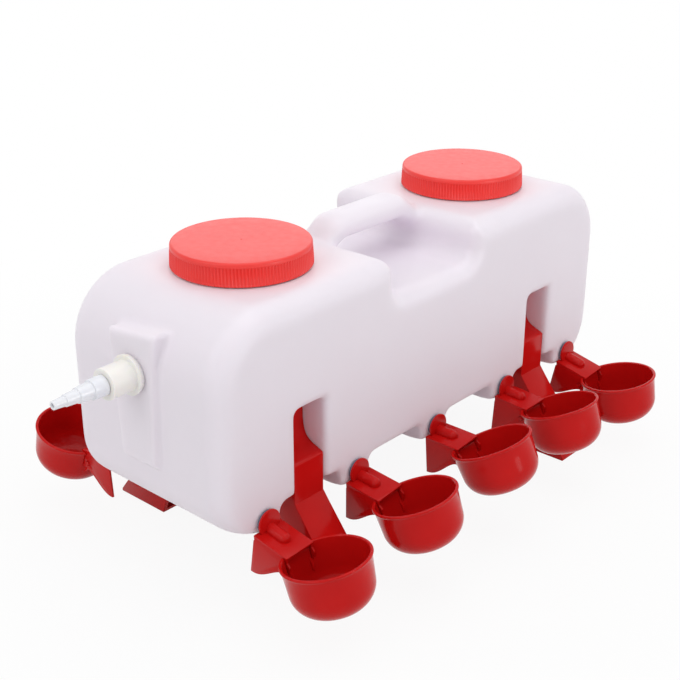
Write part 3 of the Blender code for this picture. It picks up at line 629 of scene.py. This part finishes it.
def thread():
    """The neck's screw ridge, a right-handed turn and a half that fades in and out."""
    per_turn = 96
    foot = NECK_RADIUS - THREAD_FOOT
    rings = []
    for k in range(int(THREAD_TURNS * per_turn) + 1):
        t = k / (THREAD_TURNS * per_turn)
        angle = 2 * pi * THREAD_TURNS * t
        crest = NECK_RADIUS + THREAD_DEPTH * smooth(t * 12) * smooth((1 - t) * 12)
        z = NECK_TOP - THREAD_START + THREAD_PITCH * THREAD_TURNS * t * THREAD_CLIMB
        ridge = [
            (foot, z - THREAD_HALF_FOOT),
            (crest, z - THREAD_HALF_CREST),
            (crest, z + THREAD_HALF_CREST),
            (foot, z + THREAD_HALF_FOOT),
        ]
        rings.append([(r * cos(angle), r * sin(angle), h) for r, h in ridge])
    return loft(rings)


def relaxed(mesh):
    """Soften the remeshed shell: lightly all over, least on the end pad, and far more where the grip
    runs into the humps, so that the bar grows out of them."""
    count, links = len(mesh.vertices), len(mesh.edges)
    places = np.empty(count * 3)
    mesh.vertices.foreach_get("co", places)
    places = places.reshape(-1, 3)
    ends = np.empty(links * 2, dtype=np.int64)
    mesh.edges.foreach_get("vertices", ends)
    ends = ends.reshape(-1, 2)
    valence = np.bincount(ends.ravel(), minlength=count).reshape(-1, 1)
    across, outwards, height = np.abs(places[:, 0]), np.abs(places[:, 1]), places[:, 2]
    on_pad = (places[:, 0] < -TANK_HALF + 0.0015) & (outwards < PAD_HALF_WIDTH + 0.012)
    on_pad &= (height < PAD_HIGH + 0.014) & (height > PAD_LOW - 0.010)
    light = np.where(on_pad, PAD_WEIGHT, SOFTEN_WEIGHT).reshape(-1, 1)
    reach = np.clip(1.6 - np.abs(across - GRIP_BLEND_AT) / GRIP_BLEND_HALF, 0, 1)
    reach = reach * np.clip(1.5 - outwards / 0.036, 0, 1) * np.clip((height - 0.222) / 0.010, 0, 1)
    strong = SOFTEN_WEIGHT * reach.reshape(-1, 1)
    for weights, rounds in ((light, SOFTEN_ROUNDS), (strong, BLEND_ROUNDS)):
        for _ in range(rounds):
            total = np.zeros_like(places)
            for axis in range(3):
                column = places[:, axis]
                total[:, axis] = np.bincount(ends[:, 0], column[ends[:, 1]], count)
                total[:, axis] += np.bincount(ends[:, 1], column[ends[:, 0]], count)
            places = places + weights * (total / valence - places)
    mesh.vertices.foreach_set("co", places.ravel())
    mesh.update()
    return mesh


def tank_mesh():
    """The moulded shell: its outside remeshed and relaxed so that every edge is soft, then hollowed."""
    outside = relaxed(applied(tank_form(0, True), ("REMESH", {"mode": "VOXEL", "voxel_size": VOXEL})))
    foot = TANK_TOP - NECK_ROOT
    neck = eased([(0, foot), (NECK_RADIUS, foot), (NECK_RADIUS, NECK_TOP), (0, NECK_TOP)], NECK_EASE)
    outside = join(outside, *over_necks(turned(neck, 128)))
    mouth = rod(NECK_RADIUS - NECK_WALL, foot, NECK_TOP + CUTTER_PROUD, 96)
    hole = rod(STEM_RADIUS + HOLE_CLEARANCE, -DRILL_REACH, DRILL_REACH, 32)
    drills = [moved(hole, cup_frame(side, k) @ STEM_AXIS) for side in (-1, 1) for k in range(CUP_COUNT)]
    inlet = moved(rod(INLET_STEM_RADIUS + HOLE_CLEARANCE, -DRILL_REACH, DRILL_REACH, 48), INLET_AXIS)
    hollow = cut(outside, tank_form(TANK_WALL, False), *over_necks(mouth), inlet, *drills)
    return gathered(hollow, *over_necks(thread()))


# frames: a cup's own frame has its origin at the tank's side, -Y outwards and z = 0 at the plate's top

def cup_frame(side, k):
    x = CUP_PITCH * (k - (CUP_COUNT - 1) / 2)
    place = Matrix.Translation((x, side * SIDE, PLATE_LEVEL + STEM_RISE))
    facing = Matrix.Rotation(0 if side < 0 else pi, 4, "Z")
    twist = Matrix.Rotation(math.radians(TWIST_DEGREES[k]), 4, "Y")
    return place @ facing @ twist @ Matrix.Translation((0, 0, -STEM_RISE))


def sag(side, k):
    degrees = NEAR_SAG_DEGREES[k] if side < 0 else FAR_SAG_DEGREES[k]
    return Matrix.Rotation(math.radians(degrees), 4, "X")


STEM_AXIS = Matrix.Translation((0, 0, STEM_RISE)) @ Matrix.Rotation(pi / 2, 4, "X")
INLET_AXIS = Matrix.Translation((-TANK_HALF, 0, INLET_HEIGHT)) @ Matrix.Rotation(-pi / 2, 4, "Y")
ACROSS = Matrix.Rotation(pi / 2, 4, "Y")
PIVOT = Matrix.Translation((0, -PIVOT_OUT, -PIVOT_DROP))


# bracket

def extruded(outline, x0, x1):
    """Extrude an outline of (distance out, height) across X."""
    return loft([[(x, -u, z) for u, z in outline] for x in (x0, x1)])


def side_wall_outline():
    """Straight at the back, with a hollowed lower edge that climbs to the toe in front."""
    start, end = SIDE_WALL_BACK, PLATE_LENGTH - PLATE_OVERHANG
    out = [(start, -0.0005), (start, -SIDE_WALL_DROP)]
    heel, toe = -SIDE_WALL_DROP, -PIVOT_DROP - 0.0040
    steps = 22
    for k in range(1, steps + 1):
        t = k / steps
        out.append((start + t * (end - start), heel + (toe - heel) * smooth(t ** 1.15)))
    out += [(end + TOE_LOBE, toe + 0.0006), (end + TOE_LOBE, -PIVOT_DROP + 0.0045)]
    out += [(end, -PIVOT_DROP + 0.0070), (end, -0.0005)]
    return out


def bracket_arm():
    """Plate, channel and side walls, in the arm's own frame."""
    hole = rod(TRUNNION_RADIUS + TRUNNION_CLEARANCE, -CUTTER_REACH, CUTTER_REACH, 28)
    hole = moved(hole, PIVOT @ ACROSS)
    inside, outside = PLATE_HALF - SIDE_WALL, PLATE_HALF - PLATE_OVERHANG
    walls = []
    for x0, x1 in ((-outside, -inside), (inside, outside)):
        walls.append(bevelled(cut(extruded(side_wall_outline(), x0, x1), hole), SIDE_WALL_EASE))
    plate = block((-PLATE_HALF, -PLATE_LENGTH, -PLATE_THICKNESS), (PLATE_HALF, -SIDE_WALL_BACK, 0))
    gap = block((-PLATE_GAP_HALF, -PLATE_GAP_DEPTH, -CUTTER_REACH), (PLATE_GAP_HALF, 0, CUTTER_REACH))
    seat = moved(rod(SEAT_RADIUS, -SEAT_BELOW, SEAT_ABOVE, 20), Matrix.Translation((0, -PLUNGER_OUT, 0)))
    plate = cut(bevelled(cut(plate, gap), PLATE_EASE, steps=3), seat)
    start, shoulder = PLATE_ROOT + PLATE_OVERHANG, CHANNEL_LENGTH - CHANNEL_RADIUS
    profile = [(0, start), (CHANNEL_RADIUS, start), (CHANNEL_RADIUS, shoulder)]
    for n in range(1, 12):
        angle = pi / 2 * n / 12
        profile.append((CHANNEL_RADIUS * cos(angle), shoulder + CHANNEL_RADIUS * sin(angle)))
    profile.append((0, CHANNEL_LENGTH))
    axis = Matrix.Translation((0, 0, CHANNEL_RISE)) @ Matrix.Rotation(pi / 2, 4, "X")
    below = block((-PLATE_HALF, -PLATE_LENGTH, -CUTTER_REACH), (PLATE_HALF, 0, -PLATE_THICKNESS / 2))
    channel = cut(moved(turned(profile, 48), axis), below, seat)
    return gathered(plate, channel, *walls)


def flange_mesh():
    """The disc and the screwed stem, about the stem's axis."""
    front = FLANGE_BACK + FLANGE_THICKNESS
    profile = [
        (0, -STEM_LENGTH), (STEM_RADIUS, -STEM_LENGTH), (STEM_RADIUS, FLANGE_BACK),
        (FLANGE_RADIUS, FLANGE_BACK), (FLANGE_RADIUS, front), (0, front),
    ]
    return turned(eased(profile, 0.0006), 64)


# cup

def bead_profile():
    """The bowl's rolled rim and upper wall from outside to inside, around the bead."""
    half = RIM_HEIGHT / 2
    centre = CUP_RADIUS - half
    wall_top = CUP_RADIUS - RIM_STEP
    points = [(wall_top - 0.0001, -RIM_HEIGHT - 0.0010), (wall_top + 0.0002, -RIM_HEIGHT - 0.0002)]
    for k in range(9):
        angle = math.radians(-62 + 152 * k / 8)
        points.append((centre + half * cos(angle), -half + half * sin(angle)))
    points.append((wall_top - CUP_WALL + 0.0007, -0.00005))
    points.append((wall_top - CUP_WALL + 0.0001, -0.0007))
    return points


def cup_mesh():
    """The cup hanging level, with its hinge at the origin."""
    wall_top = CUP_RADIUS - RIM_STEP
    low = wall_top - CUP_TAPER
    floor = CUP_DEPTH - CUP_STRAIGHT
    steps = 14
    arc = [pi / 2 * k / steps for k in range(steps + 1)]
    outside = [(wall_top - CUP_TAPER * 0.5, -CUP_STRAIGHT * CUP_TAPER_AT)]
    for angle in arc:
        reach = CUP_FLOOR_RADIUS + (low - CUP_FLOOR_RADIUS) * cos(angle)
        outside.append((reach, -CUP_STRAIGHT - floor * sin(angle)))
    inside = [(wall_top - CUP_WALL - CUP_TAPER * 0.5, -CUP_STRAIGHT * CUP_TAPER_AT)]
    for angle in arc:
        reach = CUP_FLOOR_RADIUS + (low - CUP_WALL - CUP_FLOOR_RADIUS) * cos(angle)
        inside.append((reach, -CUP_STRAIGHT - (floor - CUP_WALL) * sin(angle)))
    profile = [(0, -CUP_DEPTH)] + outside[::-1] + bead_profile() + inside + [(0, CUP_WALL - CUP_DEPTH)]
    bowl = moved(turned(profile, 96), Matrix.Translation((0, -CUP_AHEAD, CUP_ABOVE)))
    sill_half = EAR_OUTER - SILL_INSET
    notches = [
        block((low, -NOTCH_AHEAD, CUP_ABOVE - drop), (high, NOTCH_BEHIND, CUP_ABOVE + CUTTER_PROUD))
        for low, high, drop in (
            (-NOTCH_HALF, NOTCH_HALF, SILL_DROP),
            (-NOTCH_HALF, -sill_half, NOTCH_DEPTH),
            (sill_half, NOTCH_HALF, NOTCH_DEPTH),
        )
    ]
    bowl = bevelled(cut(bowl, *notches), 0.00025, 50.0)
    ears = [
        bevelled(extruded(EAR_OUTLINE, EAR_OUTER - EAR_THICKNESS, EAR_OUTER), 0.0002),
        bevelled(extruded(EAR_OUTLINE, -EAR_OUTER, EAR_THICKNESS - EAR_OUTER), 0.0002),
    ]
    half = TONGUE_THICKNESS / 2
    tongue = block((-EAR_OUTER, -TRUNNION_RADIUS, -half), (EAR_OUTER, TONGUE_REACH, half))
    tongue = moved(bevelled(tongue, 0.0003), Matrix.Rotation(math.radians(TONGUE_RISE_DEGREES), 4, "X"))
    reach = PLATE_HALF + TRUNNION_PROUD
    pin = eased([(0, -reach), (TRUNNION_RADIUS, -reach), (TRUNNION_RADIUS, reach), (0, reach)], 0.0003)
    return gathered(bowl, moved(turned(pin, 28), ACROSS), tongue, *ears)


# plunger and spring

def plunger_heights():
    """The plunger's tip, its collar's top and its stem's top at rest, and its travel until it shuts."""
    angle = math.radians(TONGUE_RISE_DEGREES - CUP_TILT_DEGREES)
    arm = PIVOT_OUT - PLUNGER_OUT
    tongue_top = -PIVOT_DROP + arm * math.tan(angle) + TONGUE_THICKNESS / 2 / cos(angle)
    tip = tongue_top + GAP * 1.5
    shut = arm * (math.tan(math.radians(TONGUE_RISE_DEGREES)) - math.tan(angle))
    return tip, tip + COLLAR_THICKNESS, -PLATE_THICKNESS - GAP - shut, shut


def plunger_mesh():
    tip, collar_top, stem_top, _ = plunger_heights()
    profile = [
        (0, tip), (PLUNGER_COLLAR * 0.35, tip), (PLUNGER_COLLAR, tip + COLLAR_THICKNESS * 0.55),
        (PLUNGER_COLLAR, collar_top), (PLUNGER_STEM, collar_top),
        (PLUNGER_STEM, stem_top), (NEEDLE_RADIUS, stem_top),
        (NEEDLE_RADIUS, NEEDLE_ENTRY - PLATE_THICKNESS), (0, NEEDLE_ENTRY - PLATE_THICKNESS),
    ]
    return turned(eased(profile, 0.0002, 2), 32)


def spring_mesh():
    """The coil between the plate's underside and the plunger's collar."""
    _, collar_top, _, _ = plunger_heights()
    high, low = -PLATE_THICKNESS - SPRING_WIRE, collar_top + SPRING_WIRE
    per_turn, around = 20, 8
    rings = []
    for k in range(SPRING_TURNS * per_turn + 1):
        t = k / (SPRING_TURNS * per_turn)
        angle = 2 * pi * SPRING_TURNS * t
        rise = min(max((t - 0.1) / 0.8, 0.0), 1.0)
        c, s = cos(angle), sin(angle)
        centre = Vector((SPRING_RADIUS * c, SPRING_RADIUS * s, low + (high - low) * rise))
        outwards, upwards = Vector((c, s, 0)), Vector((0, 0, 1))
        ring = []
        for n in range(around):
            turn = 2 * pi * n / around
            ring.append(centre + SPRING_WIRE * (cos(turn) * outwards + sin(turn) * upwards))
        rings.append(ring)
    return loft(rings)


# small parts

def gasket_mesh():
    inner, face = STEM_RADIUS + GAP * 2, GAP + GASKET_THICKNESS
    profile = [(GASKET_RADIUS, GAP), (GASKET_RADIUS, face), (inner, face), (inner, GAP)]
    return turned(eased(profile, GASKET_EASE), 64)


def stem_nut_mesh():
    """The nut on a bracket's stem, inside the tank."""
    start = -TANK_WALL - GAP
    nut = rod(STEM_NUT_RADIUS, start - STEM_NUT_THICKNESS, start, 6)
    bore = rod(STEM_RADIUS + GAP / 2, start - DRILL_REACH, start + DRILL_REACH, 32)
    return bevelled(cut(nut, bore), 0.0003)


def leg_face():
    """The leg's outer face from its top to the toe, as (distance out, height)."""
    top = SLOT_TOP - GAP
    flush = SIDE - LEG_RECESS
    face = [(LEG_TOP_REACH, top)]
    steps = 30
    for k in range(steps + 1):
        t = 1 - k / steps
        reach = flush + (LEG_TOP_REACH - flush) * smooth(t)
        face.append((reach, LEG_SHOULDER + LEG_SHELF * t + LEG_RISE * t ** 6))
    face.append((flush, LEG_KNEE))
    share = (LEG_KNEE - TANK_BOTTOM) / (LEG_KNEE - SOLE)
    face.append((flush + (LEG_TOE - flush) * share, TANK_BOTTOM))
    face.append((LEG_TOE, SOLE))
    return face


def leg_mesh():
    """A leg of the near side, hollow at the back, with flanks that spread towards the foot."""
    face = leg_face()
    half = SLOT_HALF - GAP
    back = SLOT_BACK + GAP
    top = face[0][1]
    flank = face + [(LEG_TOE, 0), (LEG_HEEL, 0), (LEG_HEEL, SOLE), (back, TANK_BOTTOM), (back, top)]
    inner = [(u - LEG_WALL, z) for u, z in face[:-1]] + [(LEG_TOE - LEG_WALL * 1.8, SOLE)]
    far = back - CUTTER_REACH
    hollow = inner + [(LEG_HEEL - 0.02, SOLE), (far, TANK_BOTTOM)]
    hollow += [(far, top + 0.01), (face[0][0] - LEG_WALL, top + 0.01)]
    count = len(flank)
    points = []
    for sign in (-1, 1):
        for u, z in flank:
            spread = max(0.0, 1 - z / TANK_BOTTOM) * (FOOT_HALF - half)
            points.append((sign * (half + spread), -u, z))
    sides = [(i, (i + 1) % count, count + (i + 1) % count, count + i) for i in range(count)]
    front, rear = len(face) - 2, count - 2
    upper = list(range(front + 1)) + [rear, rear + 1]
    lower = list(range(front, rear + 1))
    flats = [tuple(first + i for i in part) for first in (0, count) for part in (upper, lower)]
    solid = mesh_from("leg", points, sides + flats)
    core = loft([[(x, -u, z) for u, z in hollow] for x in (LEG_WALL - half, half - LEG_WALL)])
    wedges = []
    for sign in (-1, 1):
        inside, outside = sign * (half - LEG_CHAMFER - 0.002), sign * (half + 0.002)
        high, low = top + 0.002, top - LEG_CHAMFER - 0.002
        corner = [(inside, high), (outside, high), (outside, low)]
        wedges.append(loft([[(x, y, z) for x, z in corner] for y in (-SIDE, -0.04)]))
    return bevelled(cut(solid, core, *wedges), 0.0006, 28.0, 3)


def cap_mesh():
    """A cap about its own axis, with z = 0 at its top; the skirt's ribs are real."""
    edge = []
    for k in range(7):
        angle = pi / 2 * k / 6
        edge.append((CAP_RADIUS - CAP_EDGE * (1 - sin(angle)), -CAP_EDGE * (1 - cos(angle))))
    bore = CAP_RADIUS - CAP_WALL
    smooth_top = [*GATE_MARK, (0.0010, 0), (0.0014, 0), (0.020, 0), (0.040, 0)]
    band = [(CAP_RADIUS + CAP_FLARE * 0.05, -0.0030)]
    ribs = [
        (CAP_RADIUS + CAP_FLARE * 0.06, -0.0036),
        (CAP_RADIUS + CAP_FLARE * 0.10, -0.0044),
        (CAP_RADIUS + CAP_FLARE * 0.5, -CAP_HEIGHT * 0.5),
        (CAP_RADIUS + CAP_FLARE * 0.95, 0.0010 - CAP_HEIGHT),
    ]
    low = -CAP_HEIGHT - SKIRT_DROP
    foot = [(CAP_RADIUS + CAP_FLARE * 0.98, 0.0005 + low), (CAP_RADIUS + CAP_FLARE * 0.6, low)]
    inside = [(bore + CAP_FLARE * 0.5, low), (bore, -CAP_WALL), (0, -CAP_WALL)]
    profile = smooth_top + edge + band + ribs + foot + inside
    first = len(smooth_top) + len(edge) + len(band)
    ribbed = (first + 1, first + 2, first + 3)

    def wave(b, k):
        return RIB_DEPTH * RIB_SHAPE[k % len(RIB_SHAPE)] if b in ribbed else 0.0

    return turned(profile, CAP_RIBS * len(RIB_SHAPE), wave)


def liner_mesh():
    return rod(NECK_RADIUS - 0.0005, -CAP_WALL - GAP - LINER_THICKNESS, -CAP_WALL - GAP, 64)


# hose inlet, along Z of its own frame, which points outwards from the tank's end

def inlet_pieces():
    seat = PAD_OUT + GAP
    flange = seat + INLET_WASHER + GAP
    shoulder = flange + INLET_FLANGE
    mouth = shoulder + INLET_BODY_LENGTH
    inner = INLET_STEM_RADIUS + GAP * 2
    rim = INLET_FLANGE_RADIUS - 0.001
    washer = [(rim, seat), (rim, seat + INLET_WASHER), (inner, seat + INLET_WASHER), (inner, seat)]
    stem_end = -INLET_STEM_LENGTH
    body = [
        (INLET_STEM_RADIUS, stem_end), (INLET_STEM_RADIUS, flange),
        (INLET_FLANGE_RADIUS, flange), (INLET_FLANGE_RADIUS, shoulder),
        (INLET_BODY_RADIUS, shoulder), (INLET_BODY_RADIUS, mouth),
        (INLET_BORE, mouth), (INLET_BORE, stem_end),
    ]
    nut_start = PAD_OUT - TANK_WALL - GAP * 2
    corner = INLET_NUT_HALF_FLATS / cos(pi / 6)
    nut = cut(
        rod(corner, nut_start - INLET_NUT_THICKNESS, nut_start, 6),
        rod(INLET_STEM_RADIUS + GAP * 2, nut_start - 0.02, nut_start + 0.02, 48),
    )
    start = mouth + GAP
    barb = [(INLET_BORE - GAP * 2, start - BARB_SHANK), (INLET_BORE - GAP * 2, start)]
    for length, root, tip in BARB_STEPS:
        barb.append((root, start))
        start += length
        barb.append((tip, start))
    barb += [(BARB_BORE, start), (BARB_BORE, mouth + GAP - BARB_SHANK)]
    return {
        "inlet_washer": turned(eased(washer, 0.0003), 72),
        "inlet_fitting": turned(eased(body, 0.0009, 4), 96),
        "inlet_lock_nut": bevelled(nut, 0.0005),
        "hose_barb": turned(eased(barb, 0.0005, 4), 72),
    }


# materials

def add_node(tree, kind, values=None):
    """A new shader node with some of its inputs set."""
    made = tree.nodes.new("ShaderNode" + kind)
    for key, value in (values or {}).items():
        made.inputs[key].default_value = value
    return made


def plastic(name, light, dark, roughness, tint_scale, grain, extra=None):
    """Moulded plastic: a slow drift between two tints, an uneven gloss and a fine moulded grain.

    grain is (scale, height in metres) of the fine bump."""
    made = bpy.data.materials.new(name)
    made.use_nodes = True
    tree = made.node_tree
    link = tree.links.new
    shader = tree.nodes["Principled BSDF"]
    place = add_node(tree, "TexCoord").outputs["Object"]

    def noise(scale, detail):
        node = add_node(tree, "TexNoise", {"Scale": scale, "Detail": detail})
        link(place, node.inputs["Vector"])
        return node.outputs["Fac"]

    def ramp(source, low, high):
        limits = {"From Min": 0.3, "From Max": 0.7, "To Min": low, "To Max": high}
        node = add_node(tree, "MapRange", limits)
        link(source, node.inputs["Value"])
        return node.outputs["Result"]

    tint = add_node(tree, "Mix")
    tint.data_type = "RGBA"
    tint.inputs["A"].default_value = (*dark, 1)
    tint.inputs["B"].default_value = (*light, 1)
    link(ramp(noise(tint_scale, 3.0), 0.0, 1.0), tint.inputs["Factor"])
    link(tint.outputs["Result"], shader.inputs["Base Color"])
    smear = ramp(noise(tint_scale * 6, 4.0), roughness[0], roughness[1])
    link(smear, shader.inputs["Roughness"])
    scale, height = grain
    bump = add_node(tree, "Bump", {"Strength": 1.0, "Distance": height})
    link(noise(scale, 2.0), bump.inputs["Height"])
    link(bump.outputs["Normal"], shader.inputs["Normal"])
    for key, value in (extra or {}).items():
        shader.inputs[key].default_value = value
    return made


def make_materials():
    """The materials by name: light and dark tint, roughness, scale of the tint, and grain."""
    recipes = {
        "milky_plastic": (
            (0.895, 0.815, 0.900), (0.880, 0.800, 0.885), (0.38, 0.50), 9.0, (420.0, 0.000008),
            {"Subsurface Weight": 0.4, "Subsurface Radius": (1.0, 0.9, 0.9), "Subsurface Scale": 0.008},
        ),
        "red_plastic": (
            (0.55, 0.0070, 0.0065), (0.50, 0.0058, 0.0054), (0.13, 0.20), 30.0, (2200.0, 0.000002),
            {"Specular IOR Level": 0.13},       # the photographed plastic shows hardly any haze
        ),
        "cap_plastic": (
            (0.86, 0.036, 0.028), (0.83, 0.031, 0.024), (0.34, 0.42), 24.0, (2600.0, 0.000003),
            {"Specular IOR Level": 0.5},
        ),
        "dark_rubber": (
            (0.170, 0.185, 0.250), (0.120, 0.135, 0.190), (0.55, 0.75), 60.0, (1500.0, 0.00002),
        ),
        "cream_plastic": (
            (0.88, 0.862, 0.825), (0.85, 0.83, 0.79), (0.30, 0.42), 40.0, (800.0, 0.000006),
            {"Subsurface Weight": 0.3, "Subsurface Radius": (1.0, 0.8, 0.5), "Subsurface Scale": 0.003},
        ),
        "barb_plastic": (
            (0.82, 0.83, 0.87), (0.77, 0.78, 0.83), (0.16, 0.26), 40.0, (800.0, 0.000006),
            {"Subsurface Weight": 0.4, "Subsurface Radius": (0.9, 0.95, 1.0), "Subsurface Scale": 0.004},
        ),
        "liner_foam": (
            (0.84, 0.84, 0.82), (0.78, 0.78, 0.76), (0.75, 0.9), 60.0, (2500.0, 0.0001),
        ),
        "spring_steel": (
            (0.72, 0.72, 0.73), (0.60, 0.60, 0.62), (0.22, 0.34), 200.0, (3000.0, 0.000005),
            {"Metallic": 1.0},
        ),
    }
    return {name: plastic(name, *recipe) for name, recipe in recipes.items()}


# the object

def place(name, data, finish, matrix, body, stands_for=(), sharp=38.0):
    """Add one named piece, shaded smooth with sharp edges above an angle, on its CAD body."""
    made = add_object(name, data)
    made.matrix_world = matrix
    if not data.materials or data.materials[0] is not MATERIALS[finish]:
        data.materials.clear()
        data.materials.append(MATERIALS[finish])
        data.shade_smooth()
        data.set_sharp_from_angle(angle=math.radians(sharp))
    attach(made, body)
    if stands_for:
        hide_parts(*stands_for)
    return made


def build():
    middle = Matrix.Translation((TANK_X, 0, 0))
    place("tank_shell", tank_mesh(), "milky_plastic", middle, "tank", ["tank"], 50.0)

    cap, liner = cap_mesh(), liner_mesh()
    for label, sign in (("left", -1), ("right", 1)):
        over = Matrix.Translation((TANK_X + sign * CAP_SPACING / 2, 0, CAP_TOP))
        place("ribbed_cap_" + label, cap, "cap_plastic", over, "cap_" + label, ["cap_" + label], 30.0)
        body = "cap_lift_" + label
        place("neck_liner_" + label, liner, "liner_foam", over, body, ["cap_liner_" + label])

    for name, data in inlet_pieces().items():
        finish = "barb_plastic" if name == "hose_barb" else "cream_plastic"
        place("fine_" + name, data, finish, middle @ INLET_AXIS, "tank", [name])

    leg = leg_mesh()
    for label, sign in (("left", -1), ("right", 1)):
        for where, turn in (("near", 0), ("far", pi)):
            spot = Matrix.Translation((TANK_X + sign * SLOT_X, 0, 0)) @ Matrix.Rotation(turn, 4, "Z")
            name = "leg_%s_%s" % (label, where)
            place("moulded_" + name, leg, "red_plastic", spot, "tank", [name])

    cup, plunger, gasket, nut = cup_mesh(), plunger_mesh(), gasket_mesh(), stem_nut_mesh()
    arm_mesh, flange, spring = bracket_arm(), flange_mesh(), spring_mesh()
    off_tank = block(
        (-CUTTER_REACH, -SIDE_WALL_BACK, BELOW_TANK),
        (CUTTER_REACH, CUTTER_REACH, CUTTER_REACH),
    )
    tilt = Matrix.Rotation(math.radians(-CUP_TILT_DEGREES), 4, "X")
    for where, side in (("near", -1), ("far", 1)):
        for k in range(CUP_COUNT):
            tag = "%s_%d" % (where, k + 1)
            root = middle @ cup_frame(side, k)
            arm = root @ sag(side, k)
            bracket = gathered(cut(moved(arm_mesh, sag(side, k)), off_tank), moved(flange, STEM_AXIS))
            valve = arm @ Matrix.Translation((0, -PLUNGER_OUT, 0))
            place("valve_bracket_" + tag, bracket, "red_plastic", root, "tank", ["bracket_" + tag])
            place("bowl_" + tag, cup, "red_plastic", arm @ PIVOT @ tilt, "cup_" + tag, ["cup_" + tag])
            rider = "valve_plunger_" + tag
            place("plunger_" + tag, plunger, "red_plastic", valve, rider, [rider])
            stem = root @ STEM_AXIS
            place("gasket_" + tag, gasket, "dark_rubber", stem, "tank", ["stem_gasket_" + tag])
            place("stem_nut_" + tag, nut, "cream_plastic", stem, "tank")
            coil = place("spring_" + tag, spring, "spring_steel", valve, "tank")
            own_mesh(coil)


# studio

def light_rays(tree):
    """1 for the rays that see the background directly, in a reflection or through it, otherwise 0."""
    path = add_node(tree, "LightPath")
    total = path.outputs["Is Camera Ray"]
    for name in ("Is Glossy Ray", "Is Transmission Ray"):
        either = add_node(tree, "Math")
        either.operation = "MAXIMUM"
        tree.links.new(total, either.inputs[0])
        tree.links.new(path.outputs[name], either.inputs[1])
        total = either.outputs["Value"]
    return total


def studio_world(ambient):
    """A white world that lights the object at a given strength."""
    world = bpy.data.worlds.new("studio")
    bpy.context.scene.world = world
    world.use_nodes = True
    tree = world.node_tree
    back = tree.nodes["Background"]
    back.inputs["Color"].default_value = (1, 1, 1, 1)
    strength = add_node(tree, "MapRange", {"To Min": ambient, "To Max": 1.0})
    tree.links.new(light_rays(tree), strength.inputs["Value"])
    tree.links.new(strength.outputs["Result"], back.inputs["Strength"])


def studio_floor(share):
    """A pale floor that shows as a share of white and the rest of its own shading: the shadow. Away from
    the object it turns all white."""
    size = 30.0
    corners = [(-size, -size, 0), (size, -size, 0), (size, size, 0), (-size, size, 0)]
    mesh = mesh_from("floor", corners, [(0, 1, 2, 3)])
    floor = add_object("floor", mesh)
    floor.location.z = -FLOOR_DROP
    finish = bpy.data.materials.new("floor")
    finish.use_nodes = True
    tree = finish.node_tree
    link = tree.links.new
    tree.nodes.clear()
    out = add_node(tree, "OutputMaterial")
    mix = add_node(tree, "MixShader")
    matt = add_node(tree, "BsdfDiffuse", {"Color": (0.80, 0.80, 0.80, 1)})
    glow = add_node(tree, "Emission", {"Color": (1, 1, 1, 1), "Strength": 1.0})
    place = add_node(tree, "TexCoord")
    away = add_node(tree, "VectorMath")
    away.operation = "LENGTH"
    near, far = WHITE_FROM
    limits = {"From Min": near, "From Max": far, "To Min": share, "To Max": 1.0}
    white = add_node(tree, "MapRange", limits)
    white.interpolation_type = "SMOOTHSTEP"
    scaled = add_node(tree, "Math")
    scaled.operation = "MULTIPLY"
    link(place.outputs["Object"], away.inputs[0])
    link(away.outputs["Value"], white.inputs["Value"])
    link(light_rays(tree), scaled.inputs[0])
    link(white.outputs["Result"], scaled.inputs[1])
    link(scaled.outputs["Value"], mix.inputs["Fac"])
    link(matt.outputs["BSDF"], mix.inputs[1])
    link(glow.outputs["Emission"], mix.inputs[2])
    link(mix.outputs["Shader"], out.inputs["Surface"])
    mesh.materials.append(finish)


def soft_box(name, spot, width, height, watts):
    """A rectangular lamp that faces the object."""
    data = bpy.data.lights.new(name, "AREA")
    data.shape = "RECTANGLE"
    data.size, data.size_y = width, height
    data.energy = watts
    lamp = add_object(name, data)
    lamp.location = spot
    lamp.rotation_euler = (Vector(LIT_POINT) - Vector(spot)).to_track_quat("-Z", "Y").to_euler()


def studio():
    studio_world(AMBIENT)
    studio_floor(FLOOR_WHITE)
    soft_box("overhead", (0.1, -0.2, 1.9), 1.8, 1.6, 9.5)
    soft_box("left_box", (-1.7, 0.2, 1.2), 0.9, 0.9, 5.5)
    soft_box("back_box", (1.5, 1.4, 1.1), 1.6, 0.8, 3.8)
    soft_box("front_box", (0.25, -1.9, 0.42), 0.45, 0.75, 6.0)
    data = bpy.data.cameras.new("camera")
    data.sensor_width = 36.0
    data.lens = CAMERA_LENS
    camera = add_object("camera", data)
    flat, fall_off = cos(CAMERA_PITCH), sin(CAMERA_PITCH)
    ahead = Vector((cos(CAMERA_HEADING) * flat, sin(CAMERA_HEADING) * flat, -fall_off))
    camera.location = CAMERA_PLACE
    camera.rotation_euler = ahead.to_track_quat("-Z", "Y").to_euler()
    bpy.context.scene.camera = camera
    bpy.context.scene.view_settings.view_transform = "Standard"


MATERIALS = make_materials()
build()
studio()
